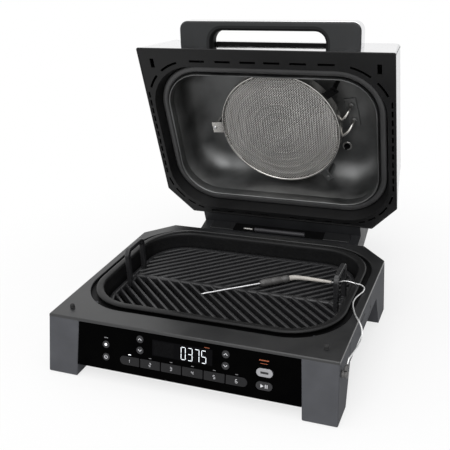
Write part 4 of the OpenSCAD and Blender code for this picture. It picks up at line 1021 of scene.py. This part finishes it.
# Painted shade: a thin near-black plate between the knuckles stands for the shade of a recess.
recess_shade_plate = block(-KNUCKLE_IN, KNUCKLE_IN, FACE_Y - 1.1, FACE_Y, FACE_LOW, FACE_TOP)
recess_shade = piece("hinge_recess_shade", recess_shade_plate, on_lid, liner_coat, "lid")
ease(recess_shade, 0.3, 2)
BAR_Y, BAR_Z = 383, 81.5
sideways = Matrix.Rotation(math.pi / 2, 4, "Y")
on_bar = on_lid @ Matrix.Translation((0, BAR_Y, BAR_Z)) @ sideways
bar_turn = [(0.001, -46), (3.4, -46), (4, -45.4), (4, 53.4), (3.4, 54), (0.001, 54)]
piece("hinge_bar", revolve(bar_turn, 28), on_bar, bar_grey, "lid", sharp=40)
coils = [(1.9 + 0.6 * (i % 2), -68 + i * 1.2) for i in range(16)]
piece("hinge_spring", revolve([(0.001, -68.4)] + coils + [(0.001, -49.6)], 24), on_bar, mesh_steel, "lid",
      sharp=70)

# The probe's tray: a small drawer in the right skirt, moulded in the base's grey. It slides out by the
# finger pull let into its face, whose hollow is filled by a near-black block as painted shade, and one
# sunk screw shows at its rear end.
eased("tray_front", "probe_tray", 0.6, base_grey)
tray_body = frame["nodes"]["probe_tray"]["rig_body"]
# Painted shade: a near-black block set in the finger pull's hollow.
pull_shade_block = block(222.5, 225.1, 130.2, 157.8, 76.2, 79.8)
pull_shade = piece("tray_pull_shade", pull_shade_block, on_base, liner_coat, tray_body)
ease(pull_shade, 0.3, 2)
on_tray_side = on_base @ Matrix.Translation((225.3, 198, 68)) @ sideways
hole_turn = [(0.001, -0.4), (2.5, -0.4), (2.6, 0.3), (2.3, 0.5), (1.5, 0.38), (0.001, 0.38)]
piece("tray_screw", revolve(hole_turn, 24), on_tray_side, liner_coat, tray_body)

# The probe: a steel needle in a black moulded grip, with a grey flexible sleeve, lying on the grate. Its
# plug, with a short relief on the cord, sits in the jack of the right front leg.
PROBE_DEG = 37.3
PROBE_AT = Vector((42, 209, 76.5))
on_probe = (on_base @ Matrix.Translation(PROBE_AT) @ Matrix.Rotation(math.radians(PROBE_DEG), 4, "Z")
            @ sideways)
grip_black = moulded("grip_black", (0.075, 0.073, 0.072), 0.42, 0.6, 0.03)
boot_grey = moulded("boot_grey", (0.52, 0.495, 0.46), 0.55, 0.8, 0.03)
dress(bright_steel, "probe_needle")
grip_turn = [(0.001, 0), (3.6, 0), (4.6, 0.6), (5.0, 2), (5.5, 3.2), (6.1, 4.4), (6.2, 7), (6.2, 18),
             (5.9, 19), (5.9, 20), (6.2, 21), (6.2, 33.4), (5.7, 34.2), (5.4, 35.4), (5.4, 40), (5.8, 40.8),
             (6.2, 41.6), (6.2, 47.4), (5.8, 48.2), (5.2, 50), (0.001, 50)]
piece("probe_handle", revolve(grip_turn, 32), on_probe, grip_black, "grate", ["probe_grip"],
      40)
along = Vector((math.cos(math.radians(PROBE_DEG)), math.sin(math.radians(PROBE_DEG)), 0))
boot_route = eased_steps([PROBE_AT + along * 50.3, PROBE_AT + along * 58, (100, 246.8, 76.4),
                          (119, 247.3, 76.2), (138, 246.4, 76.4), (152.4, 245.2, 76.9)], 8)
BOOT_R, BOOT_END_R = 4.6, 2.1
boot_radii = [BOOT_R + (BOOT_END_R - BOOT_R) * i / (len(boot_route) - 1) for i in range(len(boot_route))]
piece("probe_sleeve", tube(boot_route, boot_radii, 20), on_base, boot_grey, "grate", ["probe_boot"],
      60)
PLUG_AT = (225.548, 6, 71)
on_plug = on_base @ Matrix.Translation(PLUG_AT) @ sideways
plug_turn = [(0.001, -11), (1.2, -11), (1.8, -10), (1.8, 0.3), (4.6, 0.3), (5, 0.8), (5, 3.2), (4.7, 3.6),
             (4.7, 4.4), (5, 4.8), (5, 8.2), (4.4, 9.2), (3.6, 9.5), (0.001, 9.5)]
plug = piece("probe_connector", revolve(plug_turn, 32), on_plug, grip_black, "base", ["probe_plug"],
             40)
relief_route = eased_steps([(230.748, 7, 76.6), (231.348, 8.4, 79.5), (231.848, 10.2, 82),
                            (232.048, 10.6, 82.9)], 3)
relief_radii = [3.0 - 0.8 * i / (len(relief_route) - 1) + (0.15 if i % 2 else -0.1)
                for i in range(len(relief_route))]
cord_sleeve = piece("cord_relief", tube(relief_route, relief_radii, 16), on_base, grip_black, "base",
                    ["plug_relief"], 60)

# The probe cord: thin steel braid from the plug, up over the deck edge, across the pot's rim and through
# the lifting loop to the sleeve.
CORD_R = 1.2
SIDE_X, CORD_Z = 225, 97.15
cord_silver = new_finish("cord_silver", (0.6, 0.6, 0.6), 0.32, 0.9)
braid = cord_silver.node_tree.nodes.new("ShaderNodeTexVoronoi")
braid.inputs["Scale"].default_value = 1400
where = cord_silver.node_tree.nodes.new("ShaderNodeTexCoord")
cord_silver.node_tree.links.new(where.outputs["Object"], braid.inputs["Vector"])
tint(cord_silver, braid.outputs["Distance"], (0.92, 0.92, 0.92), (0.6, 0.6, 0.6), 0.1, 0.7)
relief(cord_silver, braid.outputs["Distance"], 0.08)
over_deck = [(232.048, 11, 83.5), (SIDE_X + 8.3, 15.5, 89.4), (SIDE_X + 9.2, 24, 89.6),
             (SIDE_X + 9.8, 38, 86.8), (SIDE_X + 11, 56, 84.5), (SIDE_X + 12, 75, 84.2),
             (SIDE_X + 11, 86, 87.6), (SIDE_X + 8.2, 95, 91.8), (SIDE_X + 2.2, 105.7, 94.6),
             (SIDE_X - 6, 121, 94.3), (SIDE_X - 13.7, 141, 94), (SIDE_X - 17.6, 156.5, 94.3),
             (SIDE_X - 17.4, 172, 94.2), (SIDE_X - 14.2, 184.5, 94.2), (SIDE_X - 10.5, 195.5, 94.8),
             (SIDE_X - 11, 205, 96.2), (SIDE_X - 16.8, 210.8, CORD_Z), (SIDE_X - 26.5, 213, CORD_Z)]
over_rim = [(SIDE_X - 26.9, 213.1, CORD_Z), (SIDE_X - 36, 213.4, CORD_Z + 1.8),
            (SIDE_X - 44, 213.3, CORD_Z + 1.9), (SIDE_X - 50, 215.4, 95.6), (SIDE_X - 56.6, 225, 89),
            (SIDE_X - 62.2, 236, 82), (SIDE_X - 67.6, 243.6, 77.9), (SIDE_X - 72.1, 245.1, 76.92)]


def cord(name, node, route):
    """One length of the cord along its route."""
    line = eased_steps(route, 5)
    points, faces = tube(line, [CORD_R] * len(line), 10)
    mesh = bpy.data.meshes.new(name)
    mesh.from_pydata([tuple(p) for p in points], [], faces)
    mesh.transform(on_base)
    mesh.shade_smooth()
    mesh.materials.append(cord_silver)
    obj = bpy.data.objects.new(name, mesh)
    scene.collection.objects.link(obj)
    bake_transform(obj)
    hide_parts(node)


cord("cord_deck_length", "cord_outer", over_deck)
cord("cord_rim_length", "cord_inner", over_rim)
